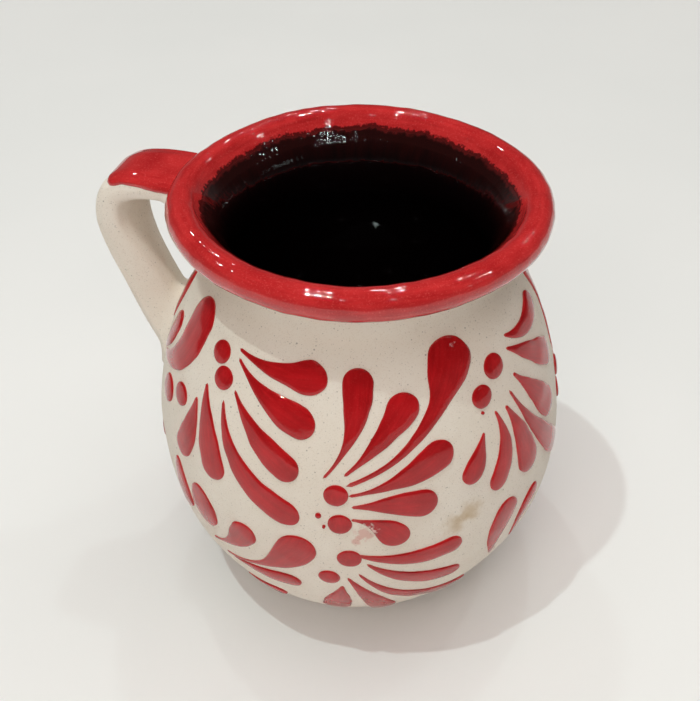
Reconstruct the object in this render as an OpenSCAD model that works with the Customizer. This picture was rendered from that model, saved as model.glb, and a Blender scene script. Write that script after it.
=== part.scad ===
// Jarrito: a hand-thrown clay mug with a rolled rim, a pulled strap handle and
// raised glaze strokes trailed on the bare clay.
// The foot stands on the plane z = 0 with its centre at the origin. The front,
// where the widest spray of strokes is, faces -Y. A turn is an angle round the
// mug from the front, positive towards +X. Distances are in millimetres.

/* [Body] */
// Height of the mug, foot to top of the rim
mug_h = 109; // [95:1:130]
// Radius of the belly at its widest
belly_r = 50; // [46:0.5:56]
// Height of the widest line of the belly
belly_h = 45; // [40:1:50]
// Radius of the arc that the belly follows down to the foot
low_arc_r = 57.5; // [55:0.5:62]
// Radius of the arc that the belly follows up to the neck
high_arc_r = 77; // [72:1:84]
// Thickness of the thrown wall
wall_t = 3.5; // [2.5:0.1:4.5]
// Thickness of the floor
floor_t = 5; // [3.5:0.5:7]
// Rounding at the edge of the foot
foot_round_r = 2; // [1:0.5:4]
// Rounding inside, where the wall meets the floor
floor_round_r = 8; // [4:0.5:12]

/* [Rim] */
// Outer radius of the rolled rim
mouth_r = 43; // [40:0.5:46]
// Radius of the roll of clay at the rim, seen in section
lip_r = 3.2; // [2.6:0.1:4]
// Radius of the hollow of the neck under the rim
neck_round_r = 7; // [5.5:0.5:9]

/* [Glaze] */
// Thickness of the red coat on the rim and on the top of the handle
coat_t = 0.4; // [0.2:0.05:0.6]
// Thickness of the dark glaze inside
inner_coat_t = 0.35; // [0.2:0.05:0.6]
// Depth below the top of the rim down to which the handle was dipped
dip_d = 3.5; // [2:0.5:6]
// Share of the sloping throat, from the neck up, that the dark glaze covers
throat_share = 0.9; // [0.4:0.05:0.95]

/* [Handle] */
// Turn of the handle from the front
handle_turn = -104.5; // [-180:0.5:180]
// Distance that the middle of the strap stands out from the widest line of the belly
strap_out_d = 8.5; // [7:0.5:16]
// Least distance that it stands out from the rim
strap_clear_d = 13; // [11:0.5:16]
// Depth of the outermost point of the strap below the top of the rim
strap_bend_d = 14; // [11:0.5:23]
// Height above the widest line of the belly at which the strap ends in the wall
strap_foot_h = 7; // [1:1:15]
// Depth of the middle of the strap in the belly at its end
strap_dive_d = 7.75; // [6:0.25:10]
// Width of the strap at the rim
strap_top_w = 16; // [13:0.5:22]
// Width of the strap half way down
strap_mid_w = 17; // [13:0.5:20]
// Width of the strap at its foot
strap_foot_w = 11; // [9:0.5:16]
// Thickness of the strap at the rim
strap_top_t = 5; // [4:0.25:7]
// Thickness of the strap half way down
strap_mid_t = 8.5; // [7:0.25:10]
// Thickness of the strap at its foot
strap_foot_t = 15; // [11:0.25:16]
// How far the strap leans round its own line at the rim, in degrees
strap_top_lean = -5; // [-20:1:10]
// How far it leans half way down
strap_mid_lean = 1; // [-20:1:20]
// How far it leans at its foot
strap_foot_lean = -36; // [-45:1:20]
// Width of the fillet of slip that bonds the strap
slip_w = 2.2; // [1:0.1:4]
// How far the fillet of slip runs out from the wall
slip_h = 3.4; // [2:0.1:5]

/* [Strokes] */
// Width of the widest stroke at its head
stroke_w = 9; // [6:0.25:10]
// Height of a stroke above the clay
relief_t = 0.7; // [0.4:0.05:1.2]
// Diameter of a dot
dot_d = 5.4; // [3.5:0.1:6]

/* [Hidden] */
// Gap left under the strokes and coats, which are laid on a curved wall
seat_clearance = 0.2;
// Overrun of every cutting shape
overrun = 1;

// Height of the dip, and of the outermost point and the end of the strap
dip_h = mug_h - dip_d;
handle_bend_h = mug_h - strap_bend_d;
handle_foot_h = belly_h + strap_foot_h;
handle_reach = max(belly_r + strap_out_d, mouth_r + strap_clear_d);

CLAY = [0.85, 0.80, 0.73];
RED = [0.74, 0.12, 0.13];
DARK = [0.12, 0.04, 0.04];

// Steps along the arcs of the wall, of the neck, of the roll and of the small corners, and
// round a full turn
ARC_STEPS = 16;
NECK_STEPS = 10;
LIP_STEPS = 24;
CORNER_STEPS = 6;
ROUND_FN = 96;

// Centres of the arcs that make the wall, each as [radius from the axis, height]
low_centre = [belly_r - low_arc_r, belly_h];
high_centre = [belly_r - high_arc_r, belly_h];
lip_centre = [mouth_r - coat_t - lip_r, mug_h - coat_t - lip_r];

function polar(centre, radius, angle) = centre + radius * [cos(angle), sin(angle)];
function arc(centre, radius, from, to, steps = ARC_STEPS) =
    [for (i = [0:steps]) polar(centre, radius, from + (to - from) * i / steps)];
function heading(from, to) = atan2(to[1] - from[1], to[0] - from[0]);
function reversed(list) = [for (i = [len(list) - 1:-1:0]) list[i]];

// The neck is hollowed by a round that touches both the belly and the roll of the
// rim: its centre is where two circles cross.
neck_span = norm(lip_centre - high_centre);
neck_belly_dist = high_arc_r + neck_round_r;
neck_lip_dist = neck_round_r + lip_r;
neck_along = (pow(neck_belly_dist, 2) - pow(neck_lip_dist, 2) + pow(neck_span, 2)) / (2 * neck_span);
neck_aside = sqrt(max(pow(neck_belly_dist, 2) - pow(neck_along, 2), 0));
neck_line = (lip_centre - high_centre) / neck_span;
neck_centre = high_centre + neck_along * neck_line + neck_aside * [neck_line[1], -neck_line[0]];

// Angles at which the arcs meet
neck_low_angle = heading(neck_centre, high_centre) + 360;
neck_high_angle = heading(neck_centre, lip_centre);
belly_top_angle = neck_low_angle - 180;
foot_centre = [
    low_centre[0] + sqrt(pow(low_arc_r - foot_round_r, 2) - pow(belly_h - foot_round_r, 2)), foot_round_r
];
foot_angle = heading(low_centre, foot_centre);
inner_low_r = low_arc_r - wall_t;
floor_centre = [
    low_centre[0] + sqrt(pow(inner_low_r - floor_round_r, 2) - pow(belly_h - floor_t - floor_round_r, 2)),
    floor_t + floor_round_r
];
floor_angle = heading(low_centre, floor_centre);

// The throat is the straight slope that touches the inside of the neck and of the roll
inner_neck_r = neck_round_r + wall_t;
throat_angle = neck_high_angle + acos(min((inner_neck_r - lip_r) / norm(lip_centre - neck_centre), 1));
throat_low = polar(neck_centre, inner_neck_r, throat_angle);
throat_high = polar(lip_centre, lip_r, throat_angle);
throat_normal = [cos(throat_angle), sin(throat_angle)];
throat_mark = throat_low + throat_share * (throat_high - throat_low);
// The red coat starts a little above the line where the neck meets the roll
COAT_START_TURN = 22;
coat_start_angle = neck_high_angle - 180 + COAT_START_TURN;

// The outer line of the clay from the foot up to the roll of the rim
function outer_line() = concat(
    arc(foot_centre, foot_round_r, -90, foot_angle, CORNER_STEPS),
    arc(low_centre, low_arc_r, foot_angle, 0),
    arc(high_centre, high_arc_r, 0, belly_top_angle),
    arc(neck_centre, neck_round_r, neck_low_angle, neck_high_angle, NECK_STEPS)
);
// The inner line of the clay from the throat down to the floor, moved inwards by a coat
function inner_line(coat = 0) = concat(
    arc(neck_centre, inner_neck_r + coat, throat_angle, neck_low_angle, NECK_STEPS),
    arc(high_centre, high_arc_r - wall_t - coat, belly_top_angle, 0),
    arc(low_centre, inner_low_r - coat, 0, floor_angle),
    arc(floor_centre, floor_round_r - coat, floor_angle, -90, CORNER_STEPS)
);

// The line of the roll from its outer side over the top to the throat
function lip_line(radius) = arc(lip_centre, radius, coat_start_angle, throat_angle, LIP_STEPS);

// The thrown clay: floor, belly, neck and the roll of the rim in one piece
module clay_body() {
    color(CLAY) rotate_extrude($fn = ROUND_FN) polygon(concat(
        [[0, 0]], outer_line(), lip_line(lip_r), inner_line(), [[0, floor_t]]
    ));
}

// Everything within the outer skin of the mug, from the axis out to the clay and the red
// coat. The hollow of the neck counts as filled as far out as the middle of the roll, so
// that the strap and its slip start there at any size.
module mug_envelope() {
    rotate_extrude($fn = ROUND_FN) polygon(concat(
        [[0, 0]], outer_line(),
        arc(lip_centre, lip_r + coat_t, coat_start_angle, 90, LIP_STEPS), [[0, mug_h]]
    ));
    translate([0, 0, belly_h]) cylinder(h = lip_centre[1] - belly_h, r = lip_centre[0], $fn = ROUND_FN);
}

// Dark glaze over the whole inside, up to the mark on the throat
module inner_glaze() {
    color(DARK) rotate_extrude($fn = ROUND_FN) polygon(concat(
        [[0, floor_t]], reversed(inner_line()), [throat_mark],
        [throat_mark + inner_coat_t * throat_normal],
        inner_line(inner_coat_t), [[0, floor_t + inner_coat_t]]
    ));
}

// Red coat round the roll of the rim, from under its outer side to the dark glaze
module rim_glaze() {
    color(RED) rotate_extrude($fn = ROUND_FN) polygon(concat(
        lip_line(lip_r), [throat_mark], [throat_mark + coat_t * throat_normal],
        reversed(lip_line(lip_r + coat_t))
    ));
}

// The middle line of the strap, as [distance from the axis, height], in two curves. It
// starts inside the neck, level with the lower part of the roll, and is pulled out square
// before it falls.
ROOT_DROP_SHARE = 0.25;
CREST_RISE_SHARE = 0.4;
CREST_REACH_SHARE = 0.92;
SHOULDER_SHARE = 0.75;
strap_root = [neck_centre[0] - neck_round_r, lip_centre[1] - ROOT_DROP_SHARE * lip_r];
strap_crest = [
    strap_root[0] + CREST_REACH_SHARE * (handle_reach - strap_root[0]),
    lip_centre[1] + CREST_RISE_SHARE * lip_r
];
upper_curve = [
    strap_root, strap_crest,
    [handle_reach, handle_bend_h + SHOULDER_SHARE * (strap_crest[1] - handle_bend_h)],
    [handle_reach, handle_bend_h]
];
// Shares of its fall that the lower curve has come down, and in, at its three later points
LOWER_FALL_SHARES = [0.235, 0.53, 1];
LOWER_PULL_SHARES = [0, 0.377, 1];
handle_fall = handle_bend_h - handle_foot_h;
handle_pull = handle_reach - belly_radius(handle_foot_h) + strap_dive_d;
lower_curve = concat([[handle_reach, handle_bend_h]], [for (i = [0:2])
    [handle_reach - LOWER_PULL_SHARES[i] * handle_pull, handle_bend_h - LOWER_FALL_SHARES[i] * handle_fall]
]);
function curve_point(p, t) =
    pow(1 - t, 3) * p[0] + 3 * pow(1 - t, 2) * t * p[1] + 3 * (1 - t) * t * t * p[2] + pow(t, 3) * p[3];
function curve_heading(p, t) =
    let (d = pow(1 - t, 2) * (p[1] - p[0]) + 2 * (1 - t) * t * (p[2] - p[1]) + t * t * (p[3] - p[2]))
    atan2(d[1], d[0]);

// Sections of the strap, counted from the rim, and the points round each
STRAP_RINGS = 24;
STRAP_SIDES = 16;
// Rings that the slip at the rim, the slip at the belly and the red coat reach over
UPPER_SLIP_RINGS = 8;
LOWER_SLIP_RINGS = 10;
COAT_RINGS = 14;
// How square the section of the strap is: 2 is an ellipse
STRAP_SQUARENESS = 2.6;
function along(top, mid, foot, s) = s < 0.5 ? top + (mid - top) * 2 * s : mid + (foot - mid) * (2 * s - 1);
function rounded(x) = sign(x) * pow(abs(x), 2 / STRAP_SQUARENESS);
// One point of the strap's skin: s runs from rim to foot and a round the section, with
// 0 at the side that faces the front of the mug and 90 at the outer face
function strap_point(s, a, grow = 0) =
    let (
        p = s < 0.5 ? curve_point(upper_curve, 2 * s) : curve_point(lower_curve, 2 * s - 1),
        h = s < 0.5 ? curve_heading(upper_curve, 2 * s) : curve_heading(lower_curve, 2 * s - 1),
        lean = along(strap_top_lean, strap_mid_lean, strap_foot_lean, s),
        u = (along(strap_top_w, strap_mid_w, strap_foot_w, s) / 2 + grow) * rounded(cos(a)),
        v = (along(strap_top_t, strap_mid_t, strap_foot_t, s) / 2 + grow) * rounded(sin(a)),
        side = u * cos(lean) - v * sin(lean),
        out = u * sin(lean) + v * cos(lean)
    )
    [p[0] - out * sin(h), side, p[1] + out * cos(h)];

// Triangles over a grid of points: rows of equal length, each closed on itself
function side_faces(rows, cols, start) =
    [for (i = [0:rows - 2]) for (j = [0:cols - 1]) each
        let (k = (j + 1) % cols, a = start + i * cols, b = a + cols)
        [[a + j, a + k, b + j], [a + k, b + k, b + j]]];
// The same grid closed by its first and last rows
function tube_faces(rows, cols) = concat(
    [[for (j = [cols - 1:-1:0]) j], [for (j = [0:cols - 1]) (rows - 1) * cols + j]],
    side_faces(rows, cols, 0)
);
module strap() {
    rotate(handle_turn - 90) polyhedron(
        points = [for (i = [0:STRAP_RINGS]) for (j = [0:STRAP_SIDES - 1])
            strap_point(i / STRAP_RINGS, j * 360 / STRAP_SIDES)],
        faces = tube_faces(STRAP_RINGS + 1, STRAP_SIDES)
    );
}
module strap_handle() {
    color(CLAY) difference() {
        strap();
        mug_envelope();
    }
}

// Slip smoothed round the joints of the strap. It is thickest against the wall and
// thins out as it climbs the strap.
SLIP_LEAST_SHARE = 0.1;
function slip_grow(gap) =
    slip_w * max(SLIP_LEAST_SHARE, pow(max(1 - max(gap, 0) / slip_h, 0), 2));
// Radius of the belly at a height
function belly_radius(z) =
    let (c = z < belly_h ? low_centre : high_centre, r = z < belly_h ? low_arc_r : high_arc_r)
    c[0] + sqrt(max(r * r - pow(z - c[1], 2), 0));
// A skin laid on the strap is a glaze coat, the slip at the rim or the slip at the belly
COAT = 0;
UPPER_SLIP = 1;
LOWER_SLIP = 2;
function skin_point(s, a, skin) =
    let (p = strap_point(s, a), reach = norm([p[0], p[1]]))
    strap_point(s, a, skin == COAT ? coat_t
        : slip_grow(reach - (skin == UPPER_SLIP ? mouth_r : belly_radius(p[2]))));
// The skin is a sleeve between two rings of the strap: its inside is the strap's own surface
module sleeve(first, last, skin) {
    rings = last - first;
    n = (rings + 1) * STRAP_SIDES;
    rotate(handle_turn - 90) polyhedron(
        points = concat(
            [for (i = [first:last]) for (j = [0:STRAP_SIDES - 1])
                skin_point(i / STRAP_RINGS, j * 360 / STRAP_SIDES, skin)],
            [for (i = [first:last]) for (j = [0:STRAP_SIDES - 1])
                strap_point(i / STRAP_RINGS, j * 360 / STRAP_SIDES)]
        ),
        faces = concat(
            side_faces(rings + 1, STRAP_SIDES, 0),
            [for (f = side_faces(rings + 1, STRAP_SIDES, n)) [f[0], f[2], f[1]]],
            [for (j = [0:STRAP_SIDES - 1]) each let (k = (j + 1) % STRAP_SIDES, e = rings * STRAP_SIDES) [
                [j, n + j, k], [k, n + j, n + k], [e + j, e + k, n + e + j], [e + k, n + e + k, n + e + j]
            ]]
        )
    );
}
module upper_luting() {
    color(CLAY) difference() {
        sleeve(0, UPPER_SLIP_RINGS, UPPER_SLIP);
        mug_envelope();
        translate([-mug_h, -mug_h, dip_h]) cube(2 * mug_h);
        rotate_extrude($fn = ROUND_FN) translate([mouth_r + slip_h, -overrun]) square([mug_h, 2 * mug_h]);
    }
}
module lower_luting() {
    color(CLAY) difference() {
        intersection() {
            sleeve(STRAP_RINGS - LOWER_SLIP_RINGS, STRAP_RINGS, LOWER_SLIP);
            rotate_extrude($fn = ROUND_FN) polygon(concat(
                [[0, 0]], arc(low_centre, low_arc_r + slip_h, foot_angle, 0),
                arc(high_centre, high_arc_r + slip_h, 0, belly_top_angle), [[0, mug_h]]
            ));
        }
        mug_envelope();
    }
}

// The red coat over the top of the strap, down to the level of the dip
module handle_glaze() {
    color(RED) difference() {
        sleeve(0, COAT_RINGS, COAT);
        mug_envelope();
        translate([-mug_h, -mug_h, dip_h - 2 * mug_h]) cube(2 * mug_h);
    }
}

// A place on the belly: a turn, a climb as a share of the way from the widest line up to
// the neck or down to the foot, and a distance out from the clay
function climb_angle(climb) = climb * (climb < 0 ? -foot_angle : belly_top_angle);
function belly_place(climb, out) = climb < 0
    ? polar(low_centre, low_arc_r + out, climb_angle(climb))
    : polar(high_centre, high_arc_r + out, climb_angle(climb));
function on_belly(place, out) =
    let (q = belly_place(place[1], out)) [q[0] * sin(place[0]), -q[0] * cos(place[0]), q[1]];
// Millimetres for one degree of turn, and for a climb of one, at a climb
function belly_scale(climb) = [
    belly_place(climb, 0)[0] * PI / 180,
    (climb < 0 ? -low_arc_r * foot_angle : high_arc_r * belly_top_angle) * PI / 180
];
function times(a, b) = [a[0] * b[0], a[1] * b[1]];
function over(a, b) = [a[0] / b[0], a[1] / b[1]];
function left_of(d) = [-d[1], d[0]];

// A stroke starts at a thin tip, swells along its tail and ends in a round head. Its
// stations are [share of its length, share of its width].
TIP_SHARE = 0.1;
TAIL_SHARES = [0, 0.25, 0.5, 0.75, 1];
HEAD_ANGLES = [36, 68];
DOT_ANGLES = [-65, -22, 22, 65];
function stroke_stations(head, swell) = concat(
    [for (t = TAIL_SHARES) [t * (1 - head), TIP_SHARE + (1 - TIP_SHARE) * pow(sin(90 * t), swell)]],
    [for (a = HEAD_ANGLES) [1 - head + head * sin(a), cos(a)]]
);
// Points round the section of a stroke, as [share of the half width, share of the rise]
SECTION_SHARES = [[-1, 0], [-0.6, 0.8], [0, 1], [0.6, 0.8], [1, 0], [0.5, 0], [0, 0], [-0.5, 0]];
module relief(stations, tip, control, head, width) {
    rows = [for (st = stations) let (
        t = st[0],
        c = pow(1 - t, 2) * tip + 2 * (1 - t) * t * control + t * t * head,
        scale_here = belly_scale(c[1]),
        d = times((1 - t) * (control - tip) + t * (head - control), scale_here),
        across = over(left_of(d) / norm(d), scale_here) * width / 2 * st[1],
        rise = relief_t * sqrt(st[1])
    ) [for (q = SECTION_SHARES) on_belly(c + q[0] * across, seat_clearance + q[1] * rise)]];
    polyhedron(points = [for (row = rows) each row], faces = tube_faces(len(stations), len(SECTION_SHARES)));
}
// A stroke: [tip turn, tip climb, head turn, head climb, bend, width, swell]. The bend is the
// share of its length that its middle lies to the left of a straight stroke, and a higher
// swell keeps the tail thin for longer.
module stroke(shares) {
    tip = [shares[0], shares[1]];
    head = [shares[2], shares[3]];
    scale_mid = belly_scale((tip[1] + head[1]) / 2);
    chord = times(head - tip, scale_mid);
    control = (tip + head) / 2 + 2 * shares[4] * over(left_of(chord), scale_mid);
    width = stroke_w * shares[5];
    relief(stroke_stations(width / 2 / norm(chord), shares[6]), tip, control, head, width);
}
// A dot: [turn, climb, size as a share of the full dot]
module dot(shares) {
    size = dot_d * shares[2];
    half = [0, size / 2 / belly_scale(shares[1])[1]];
    place = [shares[0], shares[1]];
    relief([for (a = DOT_ANGLES) [(1 + sin(a)) / 2, cos(a)]], place - half, place, place + half, size);
}
module strokes(table, turn = 0) {
    color(RED) rotate(turn) for (shares = table) stroke(shares);
}
module dots(table, turn = 0) {
    color(RED) rotate(turn) for (shares = table) dot(shares);
}

// The sprays, as they were trailed
FRONT_SHARES = [
    [-10, 0.40, -1.5, 0.92, -0.10, 0.80, 2],
    [-4.5, 0.42, 15, 0.78, -0.02, 0.78, 1.8],
    [-4, 0.37, 32, 0.98, -0.12, 1.00, 3.2],
    [-2.5, 0.32, 25, 0.51, -0.06, 0.80, 2.4],
    [-2.5, 0.26, 20, 0.23, 0.04, 0.80, 1.6],
    [-1.5, 0.15, 11, 0.07, 0.07, 0.70, 1.4]
];
FRONT_DOT_SHARES = [[-6.5, 0.32, 1], [-5.5, 0.16, 1], [-11, 0.20, 0.3], [-9.5, 0.14, 0.2]];
LEFT_SHARES = [
    [-43, 0.86, -10.5, 0.85, -0.03, 0.84, 1.8],
    [-42, 0.81, -13, 0.62, -0.04, 0.82, 1.6],
    [-40, 0.67, -17, 0.38, -0.04, 0.75, 1.4],
    [-43, 0.61, -16, 0.15, -0.14, 0.78, 1.2],
    [-51, 0.62, -41.5, 0.19, 0, 0.78, 1.2],
    [-53, 0.52, -58, 0.15, 0.07, 0.66, 1.2]
];
LEFT_DOT_SHARES = [[-49.5, 0.80, 1], [-46, 0.68, 1]];
RIGHT_SHARES = [
    [54.5, 0.83, 80, 0.83, -0.10, 0.55, 1.4],
    [53.5, 0.77, 77, 0.50, 0, 0.66, 1.4],
    [52.5, 0.66, 69, 0.26, 0, 0.70, 1.4],
    [49, 0.58, 72, -0.02, -0.05, 0.70, 1.6],
    [45, 0.54, 50, 0.12, 0.04, 0.70, 1.3],
    [41.5, 0.56, 37.5, 0.16, 0.15, 0.66, 1.4],
    [36, 0.49, 29, 0.27, 0.02, 0.60, 1.3]
];
RIGHT_DOT_SHARES = [[45.5, 0.75, 1], [37.5, 0.65, 1], [36.5, 0.57, 0.2]];
HANDLE_SIDE_SHARES = [
    [-84, 0.45, -67, 0.95, -0.24, 1.00, 1.1],
    [-89, 0.42, -79.5, 0.73, -0.10, 0.60, 1.2],
    [-93.5, 0.54, -95, 0.90, -0.10, 0.50, 1.2]
];
HANDLE_SIDE_DOT_SHARES = [[-71, 0.37, 1], [-61.5, 0.46, 1]];
LOW_FRONT_SHARES = [
    [1, -0.04, 27, -0.06, -0.06, 0.55, 1.6],
    [2, -0.10, 29, -0.31, -0.10, 0.50, 1.4],
    [-0.5, -0.19, 38, -0.60, -0.11, 0.50, 1.4],
    [-2.5, -0.23, 9.5, -0.69, 0.02, 0.65, 1.4],
    [-4.5, -0.31, -8, -0.63, 0, 0.66, 1.4]
];
LOW_FRONT_DOT_SHARES = [[-3, -0.06, 1], [-8.5, -0.22, 0.9]];
LOW_LEFT_SHARES = [
    [-37, -0.29, -13, 0.03, -0.01, 1.00, 2.4],
    [-47, -0.30, -30.5, 0.01, -0.02, 0.78, 2],
    [-36, -0.42, -17, -0.30, -0.03, 0.55, 1.4],
    [-40, -0.57, -25, -0.56, -0.15, 0.40, 1.4],
    [-50, 0.09, -46.5, -0.14, 0, 0.75, 0.8],
    [-60, 0.10, -56.5, -0.14, -0.05, 0.50, 0.8]
];
LOW_RIGHT_SHARES = [
    [43, -0.42, 45, 0.03, 0.15, 0.70, 1.2],
    [49, -0.20, 57.5, -0.03, 0.12, 0.50, 1.2]
];

// The hidden side carries the same sprays, turned
REAR_RIGHT_TURN = 92;
REAR_TURN = 188;
REAR_LEFT_TURN = 155;
LOW_REAR_TURNS = [90, 142.5, 195];
LOW_HANDLE_TURN = -109;

module front_spray() { strokes(FRONT_SHARES); }
module front_dots() { dots(FRONT_DOT_SHARES); }
module left_spray() { strokes(LEFT_SHARES); }
module left_dots() { dots(LEFT_DOT_SHARES); }
module right_spray() { strokes(RIGHT_SHARES); }
module right_dots() { dots(RIGHT_DOT_SHARES); }
module handle_side_spray() { strokes(HANDLE_SIDE_SHARES); }
module handle_side_dots() { dots(HANDLE_SIDE_DOT_SHARES); }
module low_front_spray() { strokes(LOW_FRONT_SHARES); }
module low_front_dots() { dots(LOW_FRONT_DOT_SHARES); }
module low_left_spray() { strokes(LOW_LEFT_SHARES); }
module low_right_spray() { strokes(LOW_RIGHT_SHARES); }
module rear_right_spray() { strokes(FRONT_SHARES, REAR_RIGHT_TURN); }
module rear_right_dots() { dots(FRONT_DOT_SHARES, REAR_RIGHT_TURN); }
module rear_spray() { strokes(LEFT_SHARES, REAR_TURN); }
module rear_dots() { dots(LEFT_DOT_SHARES, REAR_TURN); }
module rear_left_spray() { strokes(RIGHT_SHARES, REAR_LEFT_TURN); }
module rear_left_dots() { dots(RIGHT_DOT_SHARES, REAR_LEFT_TURN); }
module low_rear_right_spray() { strokes(LOW_FRONT_SHARES, LOW_REAR_TURNS[0]); }
module low_rear_spray() { strokes(LOW_FRONT_SHARES, LOW_REAR_TURNS[1]); }
module low_rear_left_spray() { strokes(LOW_FRONT_SHARES, LOW_REAR_TURNS[2]); }
module low_handle_spray() { strokes(LOW_FRONT_SHARES, LOW_HANDLE_TURN); }

clay_body();
strap_handle();
upper_luting();
lower_luting();
inner_glaze();
rim_glaze();
handle_glaze();
front_spray();
front_dots();
left_spray();
left_dots();
right_spray();
right_dots();
handle_side_spray();
handle_side_dots();
low_front_spray();
low_front_dots();
low_left_spray();
low_right_spray();
rear_right_spray();
rear_right_dots();
rear_spray();
rear_dots();
rear_left_spray();
rear_left_dots();
low_rear_right_spray();
low_rear_spray();
low_rear_left_spray();
low_handle_spray();
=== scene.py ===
"""Looks for the jarrito, a hand-thrown clay mug: bare cream clay, a glossy red rim, a
nearly black glaze inside, a pulled strap handle and strokes of red glaze trailed on the wall.

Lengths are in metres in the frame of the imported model: +Z up, the foot on z = 0 and the
front towards -Y. A turn is in degrees from the front, positive towards +X. A climb is the
share of the way from the widest line of the belly up to the neck, or down to the foot.
"""

from __future__ import annotations

import logging
import math
from collections.abc import Callable, Sequence
from dataclasses import dataclass
from enum import Enum
from functools import cached_property

import bmesh
import bpy
from mathutils import Euler, Matrix, Vector, noise

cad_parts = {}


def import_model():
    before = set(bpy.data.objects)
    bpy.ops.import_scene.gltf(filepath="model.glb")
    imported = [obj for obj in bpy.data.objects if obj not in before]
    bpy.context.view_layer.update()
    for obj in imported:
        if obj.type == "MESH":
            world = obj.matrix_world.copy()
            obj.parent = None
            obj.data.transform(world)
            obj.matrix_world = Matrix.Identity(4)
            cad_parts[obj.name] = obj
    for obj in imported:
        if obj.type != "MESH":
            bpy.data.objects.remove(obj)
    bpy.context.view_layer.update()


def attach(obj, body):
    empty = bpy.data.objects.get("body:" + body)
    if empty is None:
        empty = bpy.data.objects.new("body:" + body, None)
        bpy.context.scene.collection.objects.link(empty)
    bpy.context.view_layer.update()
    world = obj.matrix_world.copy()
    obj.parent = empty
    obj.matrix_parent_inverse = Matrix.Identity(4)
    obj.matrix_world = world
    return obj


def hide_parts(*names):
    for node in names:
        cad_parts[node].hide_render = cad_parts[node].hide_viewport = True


LOG = logging.getLogger("jarrito")
MM = 0.001
TRAIL = "trail"
STAIN = "stain"
ON_SKIN = 0.01 * MM
Point = tuple[float, float]
Row = tuple[float, ...]
Colour = tuple[float, float, float, float]
Spot = tuple[Row, float]
Waves = tuple[Row, ...]
Line = tuple[Vector, Vector, Vector]
Mesh = bmesh.types.BMesh
Piece = bpy.types.Object
Material = bpy.types.Material
Socket = bpy.types.NodeSocket


class Slot(Enum):
    """The material slots of the record."""

    CLAY = "clay"
    RED = "red_glaze"
    DARK = "dark_glaze"


def polar(centre: Point, radius: float, degrees: float) -> Point:
    """The point at a radius and angle from a centre."""
    turn = math.radians(degrees)
    return centre[0] + radius * math.cos(turn), centre[1] + radius * math.sin(turn)


def arc(centre: Point, radius: float, start: float, end: float, steps: int) -> list[Point]:
    """Points along an arc, both ends included.

    Args:
        centre: Centre of the arc.
        radius: Its radius.
        start: Angle of the first point, in degrees.
        end: Angle of the last point, in degrees.
        steps: Number of steps between them.

    Returns:
        The points in order.
    """
    return [polar(centre, radius, start + (end - start) * i / steps) for i in range(steps + 1)]


def heading(start: Point, end: Point) -> float:
    """The angle of the line from one point to another, in degrees."""
    return math.degrees(math.atan2(end[1] - start[1], end[0] - start[0]))


def ease(low: float, high: float, value: float) -> float:
    """A smooth step from 0 at low to 1 at high."""
    share = min(max((value - low) / (high - low), 0.0), 1.0)
    return share * share * (3 - 2 * share)


def ripple(place: Vector, size: float, seed: float = 0.0) -> float:
    """Soft noise between about -1 and 1 whose waves are as long as the size."""
    return 2.4 * noise.noise(place / size + Vector((seed, 2 * seed, 3 * seed)))


def ripples(place: Vector, waves: Waves) -> float:
    """The sum of ripples that are given as rows of reach, length and seed."""
    return sum(reach * ripple(place, size, seed) for reach, size, seed in waves)


def powered(value: float, power: float) -> float:
    """A value raised to a power, with its sign kept."""
    return math.copysign(abs(value) ** power, value)


def section(place: Vector) -> Point:
    """The radius and height of a place."""
    return math.hypot(place.x, place.y), place.z


def outward(place: Vector) -> Vector:
    """The level direction from the axis of the mug to a place."""
    return Vector((place.x, place.y, 0)).normalized()


def bent(points: Sequence[Vector], share: float) -> tuple[Vector, Vector]:
    """Follows a smoothly bent line.

    Args:
        points: Its control points.
        share: Share of the way along it.

    Returns:
        The point there, and the direction in which the line goes on.
    """
    while len(points) > 2:
        points = [first.lerp(last, share) for first, last in zip(points, points[1:], strict=False)]
    return points[0].lerp(points[1], share), points[1] - points[0]


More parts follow.
